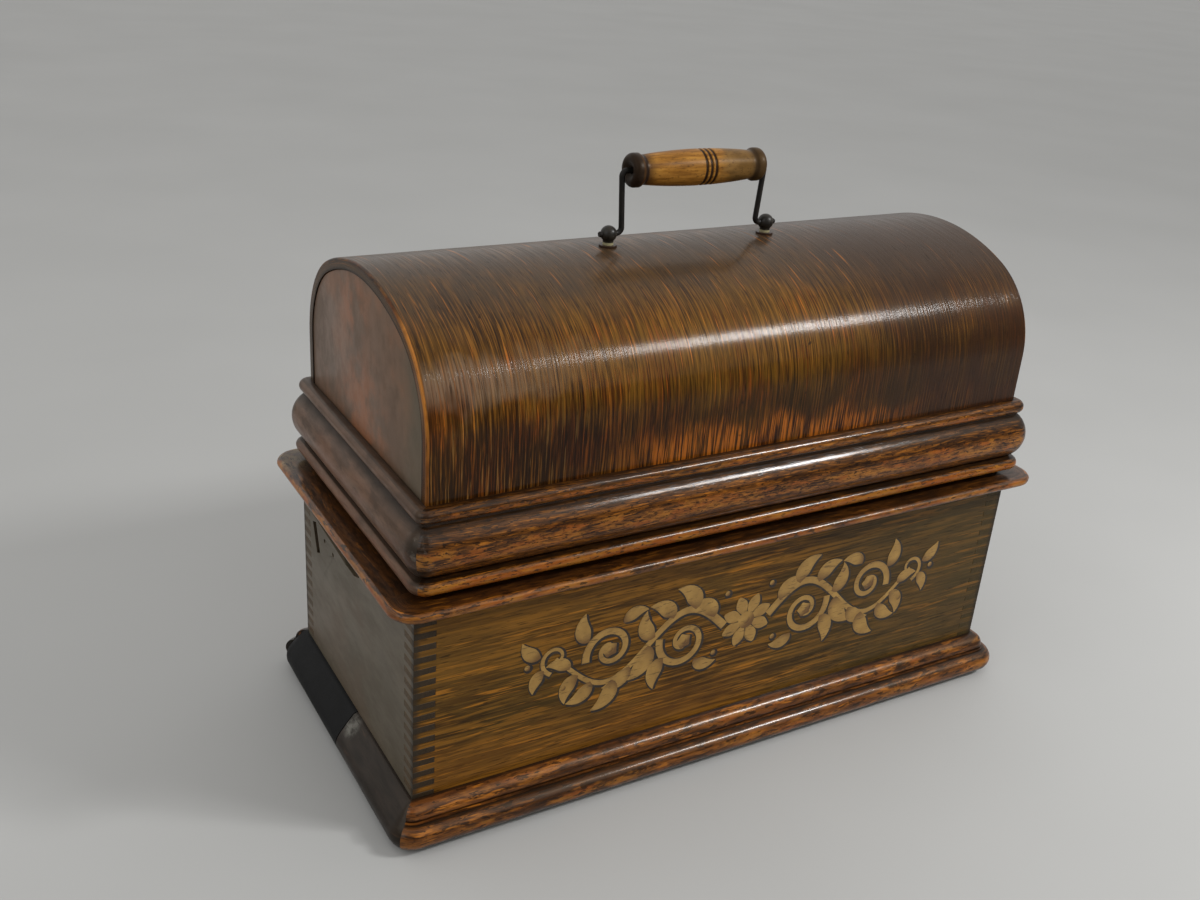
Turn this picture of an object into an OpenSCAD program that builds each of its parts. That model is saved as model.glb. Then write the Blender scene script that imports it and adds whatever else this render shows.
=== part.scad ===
// Cylinder phonograph in a domed oak carrying case.
// Millimetres. X runs to the right, Y to the rear and Z up.
// The origin is the centre of the case's underside.

/* [Case] */
// Width over the outer faces of the end panels
case_w = 400; // [396:1:420]
// Depth over the outer faces of the front and rear panels
case_d = 176; // [172:1:184]
// Height of the panels' top edges
panel_top = 140.5; // [137:0.5:150]
// Thickness of the four case panels
panel_t = 12; // [10:0.5:13]
// Pairs of fingers on each corner joint
finger_pairs = 20; // [14:1:24]
// Thickness of the bottom board
bottom_t = 10; // [8:0.5:12]
// Height of the base moulding
base_h = 25.5; // [25:0.5:30]
// Projection of the base moulding's lower torus
base_out = 16; // [15:0.2:17]
// Place along Y where the left base moulding is pieced
base_joint_y = -5; // [-20:1:30]
// Open crack at that joint
base_crack = 0.8; // [0.2:0.1:0.9]

/* [Left end fittings] */
// Length of the slanted slot in the left end panel
slot_l = 19; // [16:0.5:20]
// Width of that slot
slot_w = 6; // [4:0.5:7]
// Lean of its upper end to the rear
slot_lean = 20; // [12:1:24]
// Drop of the slot's middle below the panel's top edge
slot_drop = 36.5; // [35.5:0.5:40]
// Distance of the slot from the rear face of the case
slot_back = 23.5; // [22:0.5:27]
// Length of the finger notch under the top board
notch_l = 87; // [70:1:95]
// Depth of the finger notch at its front end
notch_h = 27.5; // [22:0.5:28.5]
// Depth of the notch at its rear end
notch_rear_h = 23.5; // [18:0.5:24]
// Radius of the two screw holes
screw_hole_r = 1.2; // [0.8:0.1:2]

/* [Top board] */
// Thickness of the bullnosed top board
board_t = 5.5; // [5:0.5:9]
// Projection of its edge past the case
board_out = 14.5; // [13:0.5:16]
// Lap of the bedplate's ends on the board
bed_lap_x = 6; // [4:0.5:8]
// Lap of the bedplate's long sides on the board
bed_lap_y = 7; // [5:0.5:9]
// Space between the bedplate's ends and the ends of the dome
bed_gap_x = 6; // [4:0.5:8]
// Space between the bedplate's long sides and the dome's sheet
bed_gap_y = 12; // [9:0.5:13]

/* [Lid] */
// Width of the dome over its ends
dome_w = 388; // [384:1:392]
// Depth of the dome over its sheet
dome_d = 174; // [172:1:178]
// Height of the crown
dome_top = 287; // [285:1:300]
// Rise of the crown above the springing line
dome_rise = 63; // [61:1:68]
// Radius of the dome's shoulders
shoulder_r = 56; // [50:1:57]
// Thickness of the bent sheet
sheet_t = 6; // [4:0.5:7]
// Thickness of the flat ends
dome_end_t = 12; // [8:0.5:13]
// Height of the moulding round the lid
lid_moulding_h = 45; // [42:0.5:50]
// Height of the shadow gap below that moulding
shadow_gap = 4; // [2:0.5:6]
// Projection of its torus from the dome
torus_out = 11.2; // [9:0.2:13]

/* [Handle] */
// Distance between the two eye posts
eye_span = 106; // [102:1:112]
// Radius of the balls that hold the bail
ball_r = 4.6; // [4.2:0.1:5]
// Radius of the bail's wire
wire_r = 1.6; // [1.4:0.1:2]
// Height of the grip's axis above the pivot
bail_h = 34; // [32:1:40]
// Length of the turned grip
grip_l = 87; // [82:0.5:87.5]
// Radius at the middle of the grip
grip_r = 10; // [9.4:0.1:11]
// Radius of the grip's necks
grip_neck_r = 8; // [7.5:0.1:8.6]
// Radius of the grip's end collars
grip_collar_r = 9.3; // [8.8:0.1:10]

/* [Spindle] */
// Height of the mandrel's axis above the bedplate
mandrel_h = 38; // [36:1:40]
// Distance of the mandrel's axis in front of the middle
mandrel_y = -20; // [-22:1:-18]
// Length of the tapered mandrel
mandrel_l = 108; // [104:1:109]
// Radius of the mandrel's wide end
mandrel_r0 = 23; // [21:0.1:24]
// Radius of the mandrel's narrow end
mandrel_r1 = 21.5; // [19:0.1:22.5]
// Radius of the feed screw
feed_r = 6; // [5:0.1:7]
// Radius of the mandrel shaft's journals
journal_r = 4; // [3.5:0.1:4.8]
// Radius of the mandrel pulley
mandrel_pulley_r = 17; // [14:0.5:19]

/* [Carriage] */
// Height of the back rod's axis above the bedplate
rod_h = 44; // [42:1:46]
// Distance of the back rod behind the middle
rod_y = 30; // [28:1:32]
// Radius of the back rod
rod_r = 5; // [4:0.1:5.5]
// Length of the carriage sleeve
sleeve_l = 158; // [150:1:160]
// Outer radius of the reproducer
reproducer_r = 18.9; // [16:0.1:19.5]

/* [Motor] */
// Module of all the gear teeth
gear_m = 1.25; // [1.15:0.01:1.27]
// Teeth of the great gear
great_n = 64; // [60:1:64]
// Teeth of the first train wheel
first_n = 48; // [44:1:48]
// Teeth of the second train wheel
second_n = 34; // [32:1:35]
// Teeth of the governor wheel
governor_n = 28; // [26:1:28]
// Teeth of the winding gear
winding_n = 32; // [30:1:33]
// Teeth of every pinion
pinion_n = 12; // [12:1:13]
// Height of the barrel's axis
barrel_z = 62; // [60:1:64]
// Distance of the barrel's axis behind the middle
barrel_y = 5; // [3:1:7]
// Radius of the spring barrel
barrel_r = 35; // [30:0.5:35.5]
// Length of the spring barrel
barrel_l = 52; // [44:1:54]
// Radius of the winding arbor and the winding shaft
arbor_r = 5; // [4:0.1:5.5]
// Radius of the train wheels' arbors
train_r = 3.5; // [2.5:0.1:4]
// Thickness of the motor frames
frame_t = 6; // [4:0.5:7]
// Radius of the drive pulley
drive_pulley_r = 20; // [16:0.5:21]
// Width of the belt
belt_w = 7; // [5:0.5:8]
// Thickness of the belt
belt_t = 1.6; // [1:0.1:2]

/* [Fits] */
// Radial clearance of shafts that turn
run_fit = 0.05; // [0.02:0.01:0.09]
// Gap between seated or facing pieces of different bodies
seat_gap = 0.3; // [0.2:0.05:0.5]

/* [Hidden] */
$fn = 64;

// Colours
oak = [0.42, 0.27, 0.13];
dark_oak = [0.30, 0.18, 0.09];
black_wood = [0.07, 0.06, 0.06];
iron = [0.12, 0.12, 0.13];
steel = [0.62, 0.62, 0.64];
brass = [0.74, 0.58, 0.28];
leather = [0.33, 0.20, 0.11];

// Stack of levels
board_z0 = panel_top + seat_gap;
board_z1 = board_z0 + board_t;
bed_t = 6;
bed_z1 = board_z1 + bed_t;
lid_z0 = board_z1 + seat_gap;
lid_moulding_z = lid_z0 + shadow_gap;

// Half sizes of the bedplate, which sits inside the dome, and of the opening under it
bed_x = dome_w / 2 - dome_end_t - bed_gap_x;
bed_y = dome_d / 2 - sheet_t - bed_gap_y;
opening_x = bed_x - bed_lap_x;
opening_y = bed_y - bed_lap_y;
frame_y = opening_y - 5;
slot_y = case_d / 2 - slot_back;

// Rear hinge
hinge_x = 120;
hinge_w = 40;
hinge_barrel_r = 2.8;
hinge_pin_r = 1.2;
hinge_leaf_t = 1.5;
hinge_upper_t = 0.9;
hinge_leaf_h = 22;
hinge_y = case_d / 2 + hinge_leaf_t + 2;
hinge_z = board_z0 - hinge_upper_t - seat_gap - hinge_barrel_r;
hinge_mid = hinge_w / 3;

// Spindle places along X, from the pulley to the end gate
pulley_w = 10;
pulley_x = -bed_x + 12;
post_t = 12;
pulley_post_x = pulley_x + pulley_w + 4;
feed_l = 126;
mandrel_post_x = pulley_post_x + post_t + feed_l;
mandrel_x = mandrel_post_x + post_t + 4;
shaft_end_x = mandrel_x + mandrel_l + 4;
gate_t = 8;
gate_x = shaft_end_x + 2;
gate_reach = 52;
gate_pin_r = 3;
gate_pin_y = 12;
gate_half_h = 7;
mandrel_c = [mandrel_y, bed_z1 + mandrel_h];
rod_c = [rod_y, bed_z1 + rod_h];

// Carriage
rod_post_t = 10;
rod_post_l_x = pulley_post_x + 4;
rod_post_r_x = gate_x + gate_t + 2;
sleeve_x = rod_post_l_x + rod_post_t + 8;
sleeve_r = 8;
collar_r = 11;
arm_w = 20;
arm_x = sleeve_x + sleeve_l - 26;
arm_mid_x = arm_x + arm_w / 2;
arm_ring_r = 12;
arm_z = bed_z1 + 76;
arm_t = 6;
eye_r = 24;
carriage_travel = 92;
rail_y = mandrel_y - eye_r - 13;
rail_w = 6;
rail_top = bed_z1 + 53.5;
finger_w = 12;

// Motor centres: each is a mesh distance and a direction from the one before
gear_gap = 0.15;
function dir(a) = [cos(a), sin(a)];
function mesh(na, nb) = gear_m * (na + nb) / 2 + gear_gap;
first_dir = 60;
second_dir = 165;
drive_dir = 190;
governor_dir = -100;
winding_dir = 90;
barrel_c = [barrel_y, barrel_z];
first_c = barrel_c + mesh(great_n, pinion_n) * dir(first_dir);
second_c = first_c + mesh(first_n, pinion_n) * dir(second_dir);
drive_c = second_c + mesh(second_n, pinion_n) * dir(drive_dir);
governor_c = drive_c + mesh(governor_n, pinion_n) * dir(governor_dir);
winding_c = barrel_c + mesh(winding_n, pinion_n) * dir(winding_dir);
pawl_c = barrel_c + [-27, -12];

// Motor places along X
frame_gap = 122;
frame_l_x = pulley_x + pulley_w + 20;
motor_x = frame_l_x + frame_t;
frame_r_x = motor_x + frame_gap;
motor_end_x = frame_r_x + frame_t;
wheel_t = 4;
gear_t = 6;
governor_wheel_x = motor_x + 2;
second_wheel_x = motor_x + 10;
disc_x = motor_x + 28;
barrel_x = motor_x + 92 - barrel_l;
great_x = motor_x + 92;
first_wheel_x = motor_x + 110;
winding_gear_x = motor_end_x + 4;
ratchet_x = winding_gear_x + gear_t + 2;
ratchet_t = 4;
ratchet_r = 16;
ratchet_n = 16;
bracket_x = bed_x - 56;
crank_r = arbor_r;
crank_end_x = case_w / 2 - panel_t - 4;
crank_hole_r = 10;
crank_bush_r = 8.5;

// Handle
crown_steps = 15;
shoulder_steps = 10;
grip_clear = 0.08;
post_stem_r = 3;
post_washer_r = 5;
bend_r = 3;
lean = 4;
leg_l = (bail_h - 2 * bend_r * (1 + sin(lean))) / cos(lean);
ball_gap = 0.2;
bail_top_x = eye_span / 2 - ball_r - ball_gap - 2 * bend_r * cos(lean) + leg_l * sin(lean);

// Points on an arc about c from angle a0 to a1
function arc(c, r, a0, a1, n) = [
    for (i = [0:n])
        let (a = a0 + (a1 - a0) * i / n)
            c + r * dir(a)
];

// A cylinder along X from x0 to x1, about a centre in the YZ plane
module rod(c, x0, x1, r) {
    translate([x0, c[0], c[1]])
        rotate([0, 90, 0])
            cylinder(h = x1 - x0, r = r);
}

// A flat shape in YZ, given a thickness along X
module along_x(x, t) {
    translate([x, 0, 0])
        rotate([90, 0, 90])
            linear_extrude(t)
                children();
}

// A flat shape in XZ, given a thickness along Y from y towards the rear
module along_y(y, t) {
    translate([0, y + t, 0])
        rotate([90, 0, 0])
            linear_extrude(t)
                children();
}

// One end of a comb joint: the corner fingers that a panel keeps, as edge points going up
function comb(edge, depth, top, pairs, first) = [
    for (i = [0:2 * pairs - 1])
        let (x = (i + first) % 2 == 0 ? edge : edge - sign(edge) * depth, step = top / (2 * pairs))
            each [[x, i * step], [x, (i + 1) * step]]
];

function reversed(p) = [for (i = [len(p) - 1:-1:0]) p[i]];

// Outline of a case panel with fingers on both its upright edges
module panel_outline(width, first) {
    right = comb(width / 2, panel_t, panel_top, finger_pairs, first);
    left = comb(-width / 2, panel_t, panel_top, finger_pairs, first);
    polygon(concat(right, reversed(left)));
}

// A mitred moulding on a wall that faces -Y: profile points are [projection, height]
module moulding(profile, x0, x1, mitre_left, mitre_right) {
    along_x(x0, x1 - x0)
        polygon([for (p = profile) [-p[0], p[1]]]);
    if (mitre_left)
        translate([x0, 0, 0])
            rotate([0, 0, 225])
                rotate_extrude(angle = 45)
                    polygon(profile);
    if (mitre_right)
        translate([x1, 0, 0])
            rotate([0, 0, 270])
                rotate_extrude(angle = 45)
                    polygon(profile);
}

// The four sides of a rectangle, for a moulding drawn on its front side
module side_front(d) translate([0, -d / 2, 0]) children();
module side_rear(d) rotate([0, 0, 180]) translate([0, -d / 2, 0]) children();
module side_left(w) rotate([0, 0, -90]) translate([0, -w / 2, 0]) children();
module side_right(w) rotate([0, 0, 90]) translate([0, -w / 2, 0]) children();

// Base moulding: a torus below, a fillet and a quarter round above
base_torus_r = 7;
base_torus_z = 9;
base_foot_in = 8;
base_round_r = 7.5;
base_round_c = [1.2, base_h - base_round_r - 0.2];
base_fillet = [9.8, 17.3];
base_fillet_h = 1.3;
base_fillet_w = 1.4;
base_profile = concat(
    [[0, 0], [base_out - base_foot_in, 0]],
    arc([base_out - base_torus_r, base_torus_z], base_torus_r, -75, 75, 10),
    [base_fillet - [0, base_fillet_h], base_fillet, base_fillet - [base_fillet_w, 0]],
    arc(base_round_c, base_round_r, 0, 88, 8),
    [[0, base_h]]
);

// Plain sloping moulding that stands in its place on the left end
base_plain_profile = [
    [0, 0], [9.5, 0], [12, 2.2], [13.4, 5], [13.8, 8], [13, 11], [10.5, 15],
    [3.2, base_h - 1.3], [1.8, base_h - 0.3], [0, base_h]
];

// Bullnosed edge of the top board
board_profile = concat(
    [[0, board_z0]],
    arc([board_out - board_t / 2, board_z0 + board_t / 2], board_t / 2, -90, 90, 8),
    [[0, board_z1]]
);

// Lid moulding: a bead, a broad torus and a bead
lower_bead_r = 3.7;
lower_bead_in = 1.8;
upper_bead_r = 4;
upper_bead_in = 4.7;
torus_r = 16.5;
torus_half = (lid_moulding_h - 2 * lower_bead_r - 2 * upper_bead_r - 2) / 2;
torus_z = lid_moulding_z + 2 * lower_bead_r + 1 + torus_half;
torus_a = asin(torus_half / torus_r);
lid_profile = concat(
    [[0, lid_moulding_z]],
    arc([torus_out - lower_bead_in - lower_bead_r, lid_moulding_z + lower_bead_r], lower_bead_r, -90, 75, 8),
    arc([torus_out - torus_r, torus_z], torus_r, -torus_a, torus_a, 12),
    arc([torus_out - upper_bead_in - upper_bead_r, lid_moulding_z + lid_moulding_h - upper_bead_r], upper_bead_r, -75, 90, 8),
    [[0, lid_moulding_z + lid_moulding_h]]
);

// Dome section: two shoulders and a flatter crown, tangent where they meet
module dome_outline(inset, foot) {
    half = dome_d / 2 - inset;
    r = shoulder_r - inset;
    crown_c = [0, dome_top - crown_r];
    shoulder_y = dome_d / 2 - shoulder_r;
    shoulder_z = dome_top - dome_rise;
    polygon(concat(
        [[half, foot]],
        arc([shoulder_y, shoulder_z], r, 0, 90 - crown_a, shoulder_steps),
        arc(crown_c, crown_r - inset, 90 - crown_a, 90 + crown_a, crown_steps),
        arc([-shoulder_y, shoulder_z], r, 90 + crown_a, 180, shoulder_steps),
        [[-half, foot]]
    ));
}
crown_r = (pow(dome_rise, 2) + pow(dome_d / 2 - shoulder_r, 2) - pow(shoulder_r, 2)) / (2 * (dome_rise - shoulder_r));
crown_a = asin((dome_d / 2 - shoulder_r) / (crown_r - shoulder_r));
crown_flat = dome_top - crown_r * (1 - cos(crown_a / crown_steps));
crown_under = dome_top - sheet_t - (crown_r - sheet_t) * (1 - cos(crown_a / crown_steps));
pivot_z = crown_flat + 7;
grip_z = pivot_z + bail_h;

// Gear outline with straight-flanked teeth, one tooth pointing along phase
tooth_tip = 0.8;
tooth_root = 1.05;
module gear_outline(n, phase) {
    pitch_r = gear_m * n / 2;
    tip_r = pitch_r + tooth_tip * gear_m;
    root_r = pitch_r - tooth_root * gear_m;
    polygon([
        for (i = [0:n - 1])
            for (k = [[-0.25, root_r], [-0.11, tip_r], [0.11, tip_r], [0.25, root_r]])
                k[1] * dir(phase + (i + k[0]) * 360 / n)
    ]);
}

// A pinion's phase, so that a gap faces the wheel that lies against direction a
function pinion_phase(a) = a + 180 + 180 / pinion_n;

module wheel(c, n, phase, x, t) {
    translate([0, c[0], c[1]])
        along_x(x, t)
            gear_outline(n, phase);
}

// Wheel with round crossings between its rim and its hub
module crossed_wheel(c, n, phase, x, t, holes) {
    pitch_r = gear_m * n / 2;
    hole_r = pitch_r * 0.24;
    difference() {
        wheel(c, n, phase, x, t);
        for (i = [0:holes - 1])
            rod(c + pitch_r * 0.55 * dir(phase + (i + 0.5) * 360 / holes), x - 1, x + t + 1, hole_r);
    }
}

// Grooved belt pulley
module pulley(c, x, w, r, bore) {
    difference() {
        union() {
            rod(c, x, x + w, r);
            rod(c, x, x + 1, r + 2.4);
            rod(c, x + w - 1, x + w, r + 2.4);
        }
        rod(c, x - 1, x + w + 1, bore);
    }
}

// A round wire laid along bends and straights in the XY plane, starting along +X.
// Each step is [turn, length]; a bend is a hair thicker than the wire, which runs a little into it.
bend_swell = 0.04;
bend_lap = 0.5;
module wire_path(steps, i = 0) {
    if (i < len(steps)) {
        turn = steps[i][0];
        side = sign(turn);
        translate([0, side * bend_r, 0]) {
            rotate([0, 0, side > 0 ? -90 : 90 + turn])
                rotate_extrude(angle = abs(turn))
                    translate([bend_r, 0])
                        circle(wire_r + bend_swell);
            rotate([0, 0, turn])
                translate([0, -side * bend_r, 0]) {
                    last = i == len(steps) - 1;
                    translate([-bend_lap, 0, 0])
                        rotate([0, 90, 0])
                            cylinder(h = steps[i][1] + bend_lap + (last ? 0 : bend_lap), r = wire_r);
                    translate([steps[i][1], 0, 0])
                        wire_path(steps, i + 1);
                }
        }
    }
}

// Case
module front_panel() {
    color(oak)
        along_y(-case_d / 2, panel_t)
            panel_outline(case_w, 0);
}

module rear_panel() {
    color(oak)
        along_y(case_d / 2 - panel_t, panel_t)
            panel_outline(case_w, 0);
}

module left_end_panel() {
    notch_rear = slot_y + 9.5;
    notch_front = notch_rear - notch_l;
    notch_z = panel_top - notch_h;
    color(dark_oak)
        along_x(-case_w / 2, panel_t)
            difference() {
                panel_outline(case_d, 1);
                polygon([
                    [notch_rear, panel_top + 1], [notch_rear, panel_top - notch_rear_h],
                    [notch_front + 25, notch_z], [notch_front + 12, notch_z], [notch_front + 5, notch_z + 2.5],
                    [notch_front, notch_z + 7], [notch_front, panel_top + 1]
                ]);
                translate([slot_y, panel_top - slot_drop])
                    rotate(-slot_lean)
                        square([slot_w, slot_l], center = true);
                for (p = [[-15, -31.5], [-30, -33]])
                    translate([slot_y, panel_top] + p)
                        circle(screw_hole_r);
            }
}

module right_end_panel() {
    color(dark_oak)
        along_x(case_w / 2 - panel_t, panel_t)
            difference() {
                panel_outline(case_d, 1);
                translate(winding_c)
                    circle(crank_hole_r);
            }
}

module bottom_board() {
    color(oak)
        translate([-case_w / 2 + panel_t, -case_d / 2 + panel_t, 0])
            cube([case_w - 2 * panel_t, case_d - 2 * panel_t, bottom_t]);
}

module base_moulding_front() {
    color(dark_oak)
        side_front(case_d)
            moulding(base_profile, -case_w / 2, case_w / 2, true, true);
}

module base_moulding_rear() {
    color(dark_oak)
        side_rear(case_d)
            moulding(base_profile, -case_w / 2, case_w / 2, true, true);
}

module base_moulding_right() {
    color(dark_oak)
        side_right(case_w)
            moulding(base_profile, -case_d / 2, case_d / 2, true, true);
}

module base_moulding_left_front() {
    color(dark_oak)
        side_left(case_w)
            moulding(base_plain_profile, -base_joint_y + base_crack / 2, case_d / 2, false, true);
}

module base_moulding_left_rear() {
    color(black_wood)
        side_left(case_w)
            moulding(base_plain_profile, -case_d / 2, -base_joint_y - base_crack / 2, true, false);
}

module crank_escutcheon() {
    color(brass)
        difference() {
            union() {
                rod(winding_c, case_w / 2 - panel_t, case_w / 2, crank_hole_r);
                rod(winding_c, case_w / 2, case_w / 2 + 2, crank_hole_r + 6);
            }
            rod(winding_c, case_w / 2 - panel_t - 1, case_w / 2 + 3, crank_bush_r);
        }
}

// One butt hinge: the case leaf holds the outer knuckles and the pin
module case_leaf() {
    end_w = (hinge_w - hinge_mid) / 2;
    translate([-hinge_w / 2, case_d / 2, hinge_z - hinge_leaf_h])
        cube([hinge_w, hinge_leaf_t, hinge_leaf_h - hinge_barrel_r - seat_gap]);
    for (x = [-hinge_w / 2, hinge_mid / 2 + seat_gap]) {
        translate([x, case_d / 2, hinge_z - hinge_barrel_r - seat_gap - 1])
            cube([end_w - seat_gap, hinge_leaf_t, hinge_barrel_r + seat_gap + 1]);
        translate([x, case_d / 2, hinge_z - hinge_barrel_r])
            cube([end_w - seat_gap, hinge_y - case_d / 2, hinge_barrel_r]);
        rod([hinge_y, hinge_z], x, x + end_w - seat_gap, hinge_barrel_r);
    }
    rod([hinge_y, hinge_z], -hinge_w / 2, hinge_w / 2, hinge_pin_r);
}

module lower_hinge_leaves() {
    color(brass)
        for (side = [-1, 1])
            translate([side * hinge_x, 0, 0])
                case_leaf();
}

// Works board, bedplate and frames
module upper_hinge_leaves() {
    color(brass)
        for (side = [-1, 1])
            translate([side * hinge_x, 0, 0])
                difference() {
                    union() {
                        translate([-hinge_w / 2, hinge_y - hinge_barrel_r, board_z0 - hinge_upper_t])
                            cube([hinge_w, board_out - 4, hinge_upper_t]);
                        translate([-hinge_mid / 2, hinge_y, hinge_z])
                            cube([hinge_mid, hinge_barrel_r, board_z0 - hinge_z]);
                        rod([hinge_y, hinge_z], -hinge_mid / 2, hinge_mid / 2, hinge_barrel_r);
                    }
                    rod([hinge_y, hinge_z], -hinge_w, hinge_w, hinge_pin_r + run_fit);
                }
}

module top_board() {
    color(dark_oak)
        difference() {
            union() {
                translate([-case_w / 2, -case_d / 2, board_z0])
                    cube([case_w, case_d, board_t]);
                side_front(case_d)
                    moulding(board_profile, -case_w / 2, case_w / 2, true, true);
                side_rear(case_d)
                    moulding(board_profile, -case_w / 2, case_w / 2, true, true);
                side_left(case_w)
                    moulding(board_profile, -case_d / 2, case_d / 2, true, true);
                side_right(case_w)
                    moulding(board_profile, -case_d / 2, case_d / 2, true, true);
            }
            translate([-opening_x, -opening_y, board_z0 - 1])
                cube([2 * opening_x, 2 * opening_y, board_t + 2]);
        }
}

screw_r = 2;
screw_x = bed_x - 3;
screw_y = bed_y - 3.5;
screw_places = [for (sx = [-1, 1], sy = [-1, 1]) [sx * screw_x, sy * screw_y]];
control_y = -bed_y + 16;
brake_p = [pulley_x + 64, control_y];
brake_stud_r = 3;
speed_p = [brake_p[0] + 40, control_y];
speed_r = 2.5;
speed_below = 5;

// Bearing post of the bedplate casting, with its boss about c
module bearing_post(c, x, t, foot, boss_r) {
    along_x(x, t)
        polygon([
            [c[0] - foot, bed_z1], [c[0] + foot, bed_z1], [c[0] + boss_r * 0.7, c[1]], [c[0] - boss_r * 0.7, c[1]]
        ]);
    rod(c, x, x + t, boss_r);
}

module bedplate() {
    belt_gap = 3;
    slot_front = drive_c[0] - drive_pulley_r - 3;
    slot_rear = mandrel_y + mandrel_pulley_r + 4;
    color(iron)
        difference() {
            union() {
                translate([-bed_x, -bed_y, board_z1])
                    cube([2 * bed_x, 2 * bed_y, bed_t]);
                bearing_post(mandrel_c, pulley_post_x, post_t, 18, 10);
                bearing_post(mandrel_c, mandrel_post_x, post_t, 18, 10);
                bearing_post(rod_c, rod_post_l_x, rod_post_t, 12, 9);
                bearing_post(rod_c, rod_post_r_x, rod_post_t, 12, 9);
                translate([gate_x + gate_t / 2, gate_pin_y, bed_z1])
                    cylinder(h = mandrel_h - gate_half_h - seat_gap, r = 7);
                translate([gate_x + gate_t / 2, gate_pin_y, bed_z1])
                    cylinder(h = mandrel_h + gate_half_h + 2, r = gate_pin_r);
                translate([gate_x + gate_t / 2, gate_pin_y - gate_reach + 6, bed_z1])
                    cylinder(h = mandrel_h - gate_half_h - seat_gap, r = 5);
                translate([brake_p[0], brake_p[1], bed_z1])
                    cylinder(h = 6, r = brake_stud_r);
            }
            translate([pulley_x - belt_gap, slot_front, board_z1 - 1])
                cube([pulley_w + 2 * belt_gap, slot_rear - slot_front, bed_t + 2]);
            rod(mandrel_c, pulley_post_x - 1, pulley_post_x + post_t + 1, journal_r + run_fit);
            rod(mandrel_c, mandrel_post_x - 1, mandrel_post_x + post_t + 1, journal_r + run_fit);
            rod(rod_c, rod_post_l_x - 1, rod_post_r_x + rod_post_t + 1, rod_r);
            for (p = screw_places)
                translate([p[0], p[1], board_z1 - 1])
                    cylinder(h = bed_t + 2, r = screw_r);
            translate([speed_p[0], speed_p[1], board_z1 - 1])
                cylinder(h = bed_t + 2, r = speed_r + run_fit);
        }
}

module bedplate_screws() {
    color(steel)
        for (p = screw_places)
            translate([p[0], p[1], board_z1]) {
                cylinder(h = bed_t, r = screw_r);
                translate([0, 0, bed_t])
                    cylinder(h = 1.6, r = screw_r + 1);
            }
}

// Outline of a motor frame, kept inside the sweep of the tilting works
module frame_outline() {
    y = barrel_c[0];
    z = barrel_c[1];
    polygon([
        [-frame_y, board_z1], [-frame_y, z + 22], [-frame_y + 7, z - 2], [y - 25, z - 36], [y - 5, z - 44],
        [y + 21, z - 44], [frame_y - 6, z - 18], [frame_y, z + 38], [frame_y, board_z1]
    ]);
}

flange_t = 4;
flange_w = 12;
module motor_frame(x, flange_x, bores) {
    difference() {
        union() {
            along_x(x, frame_t)
                frame_outline();
            translate([flange_x, -frame_y, board_z1 - flange_t])
                cube([flange_w + frame_t, 2 * frame_y, flange_t]);
        }
        for (b = bores)
            rod(b[0], x - 1, x + frame_t + 1, b[1] + run_fit);
    }
}

governor_r = 2.5;
train_bores = [
    [barrel_c, arbor_r], [first_c, train_r], [second_c, train_r], [drive_c, train_r], [governor_c, governor_r]
];
pillar_r = 3.5;
pillar_places = [
    [-frame_y + 8, board_z1 - 12.3], [frame_y - 8, board_z1 - 11.3], [-frame_y + 12, barrel_z]
];
pawl_stud_r = 2.5;

module motor_frame_left() {
    color(iron)
        motor_frame(frame_l_x, frame_l_x, train_bores);
}

module motor_frame_right() {
    color(iron)
        union() {
            motor_frame(frame_r_x, frame_r_x - flange_w, concat(train_bores, [[winding_c, arbor_r]]));
            rod(pawl_c, motor_end_x, ratchet_x + ratchet_t + 2, pawl_stud_r);
        }
}

module motor_pillars() {
    color(steel)
        for (p = pillar_places)
            rod(p, motor_x, frame_r_x, pillar_r);
}

module winding_bracket() {
    half = 13;
    color(iron)
        difference() {
            union() {
                along_x(bracket_x, frame_t)
                    polygon([
                        [winding_c[0] - half, board_z1], [winding_c[0] - half, winding_c[1]],
                        [winding_c[0] + half, winding_c[1]], [winding_c[0] + half, board_z1]
                    ]);
                rod(winding_c, bracket_x, bracket_x + frame_t, half);
                translate([bracket_x, winding_c[0] - half, board_z1 - flange_t])
                    cube([frame_t + flange_w, 2 * half, flange_t]);
            }
            rod(winding_c, bracket_x - 1, bracket_x + frame_t + 1, arbor_r + run_fit);
        }
}

module back_rod() {
    color(steel)
        rod(rod_c, rod_post_l_x, rod_post_r_x + rod_post_t, rod_r);
}

module straight_edge() {
    rail_l = rod_post_r_x - mandrel_post_x;
    color(steel)
        union() {
            translate([mandrel_post_x, rail_y - rail_w / 2, rail_top - 9])
                cube([rail_l, rail_w, 9]);
            for (x = [mandrel_post_x + 4, rod_post_r_x - 12])
                translate([x, rail_y - rail_w / 2, bed_z1])
                    cube([8, rail_w, rail_top - 9 - bed_z1]);
        }
}

// Closed belt line round two pulleys of radius r0 and r1
function belt_line(c0, r0, c1, r1) =
    let (
        v = c1 - c0,
        d = norm(v),
        heading = atan2(v[1], v[0]),
        open = acos((r0 - r1) / d)
    )
    concat(arc(c0, r0, heading + open, heading + 360 - open, 20), arc(c1, r1, heading - open, heading + open, 20));

module drive_belt() {
    inner = seat_gap;
    outer = seat_gap + belt_t;
    color(leather)
        along_x(pulley_x + (pulley_w - belt_w) / 2, belt_w)
            difference() {
                polygon(belt_line(drive_c, drive_pulley_r + outer, mandrel_c, mandrel_pulley_r + outer));
                polygon(belt_line(drive_c, drive_pulley_r + inner, mandrel_c, mandrel_pulley_r + inner));
            }
}

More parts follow.
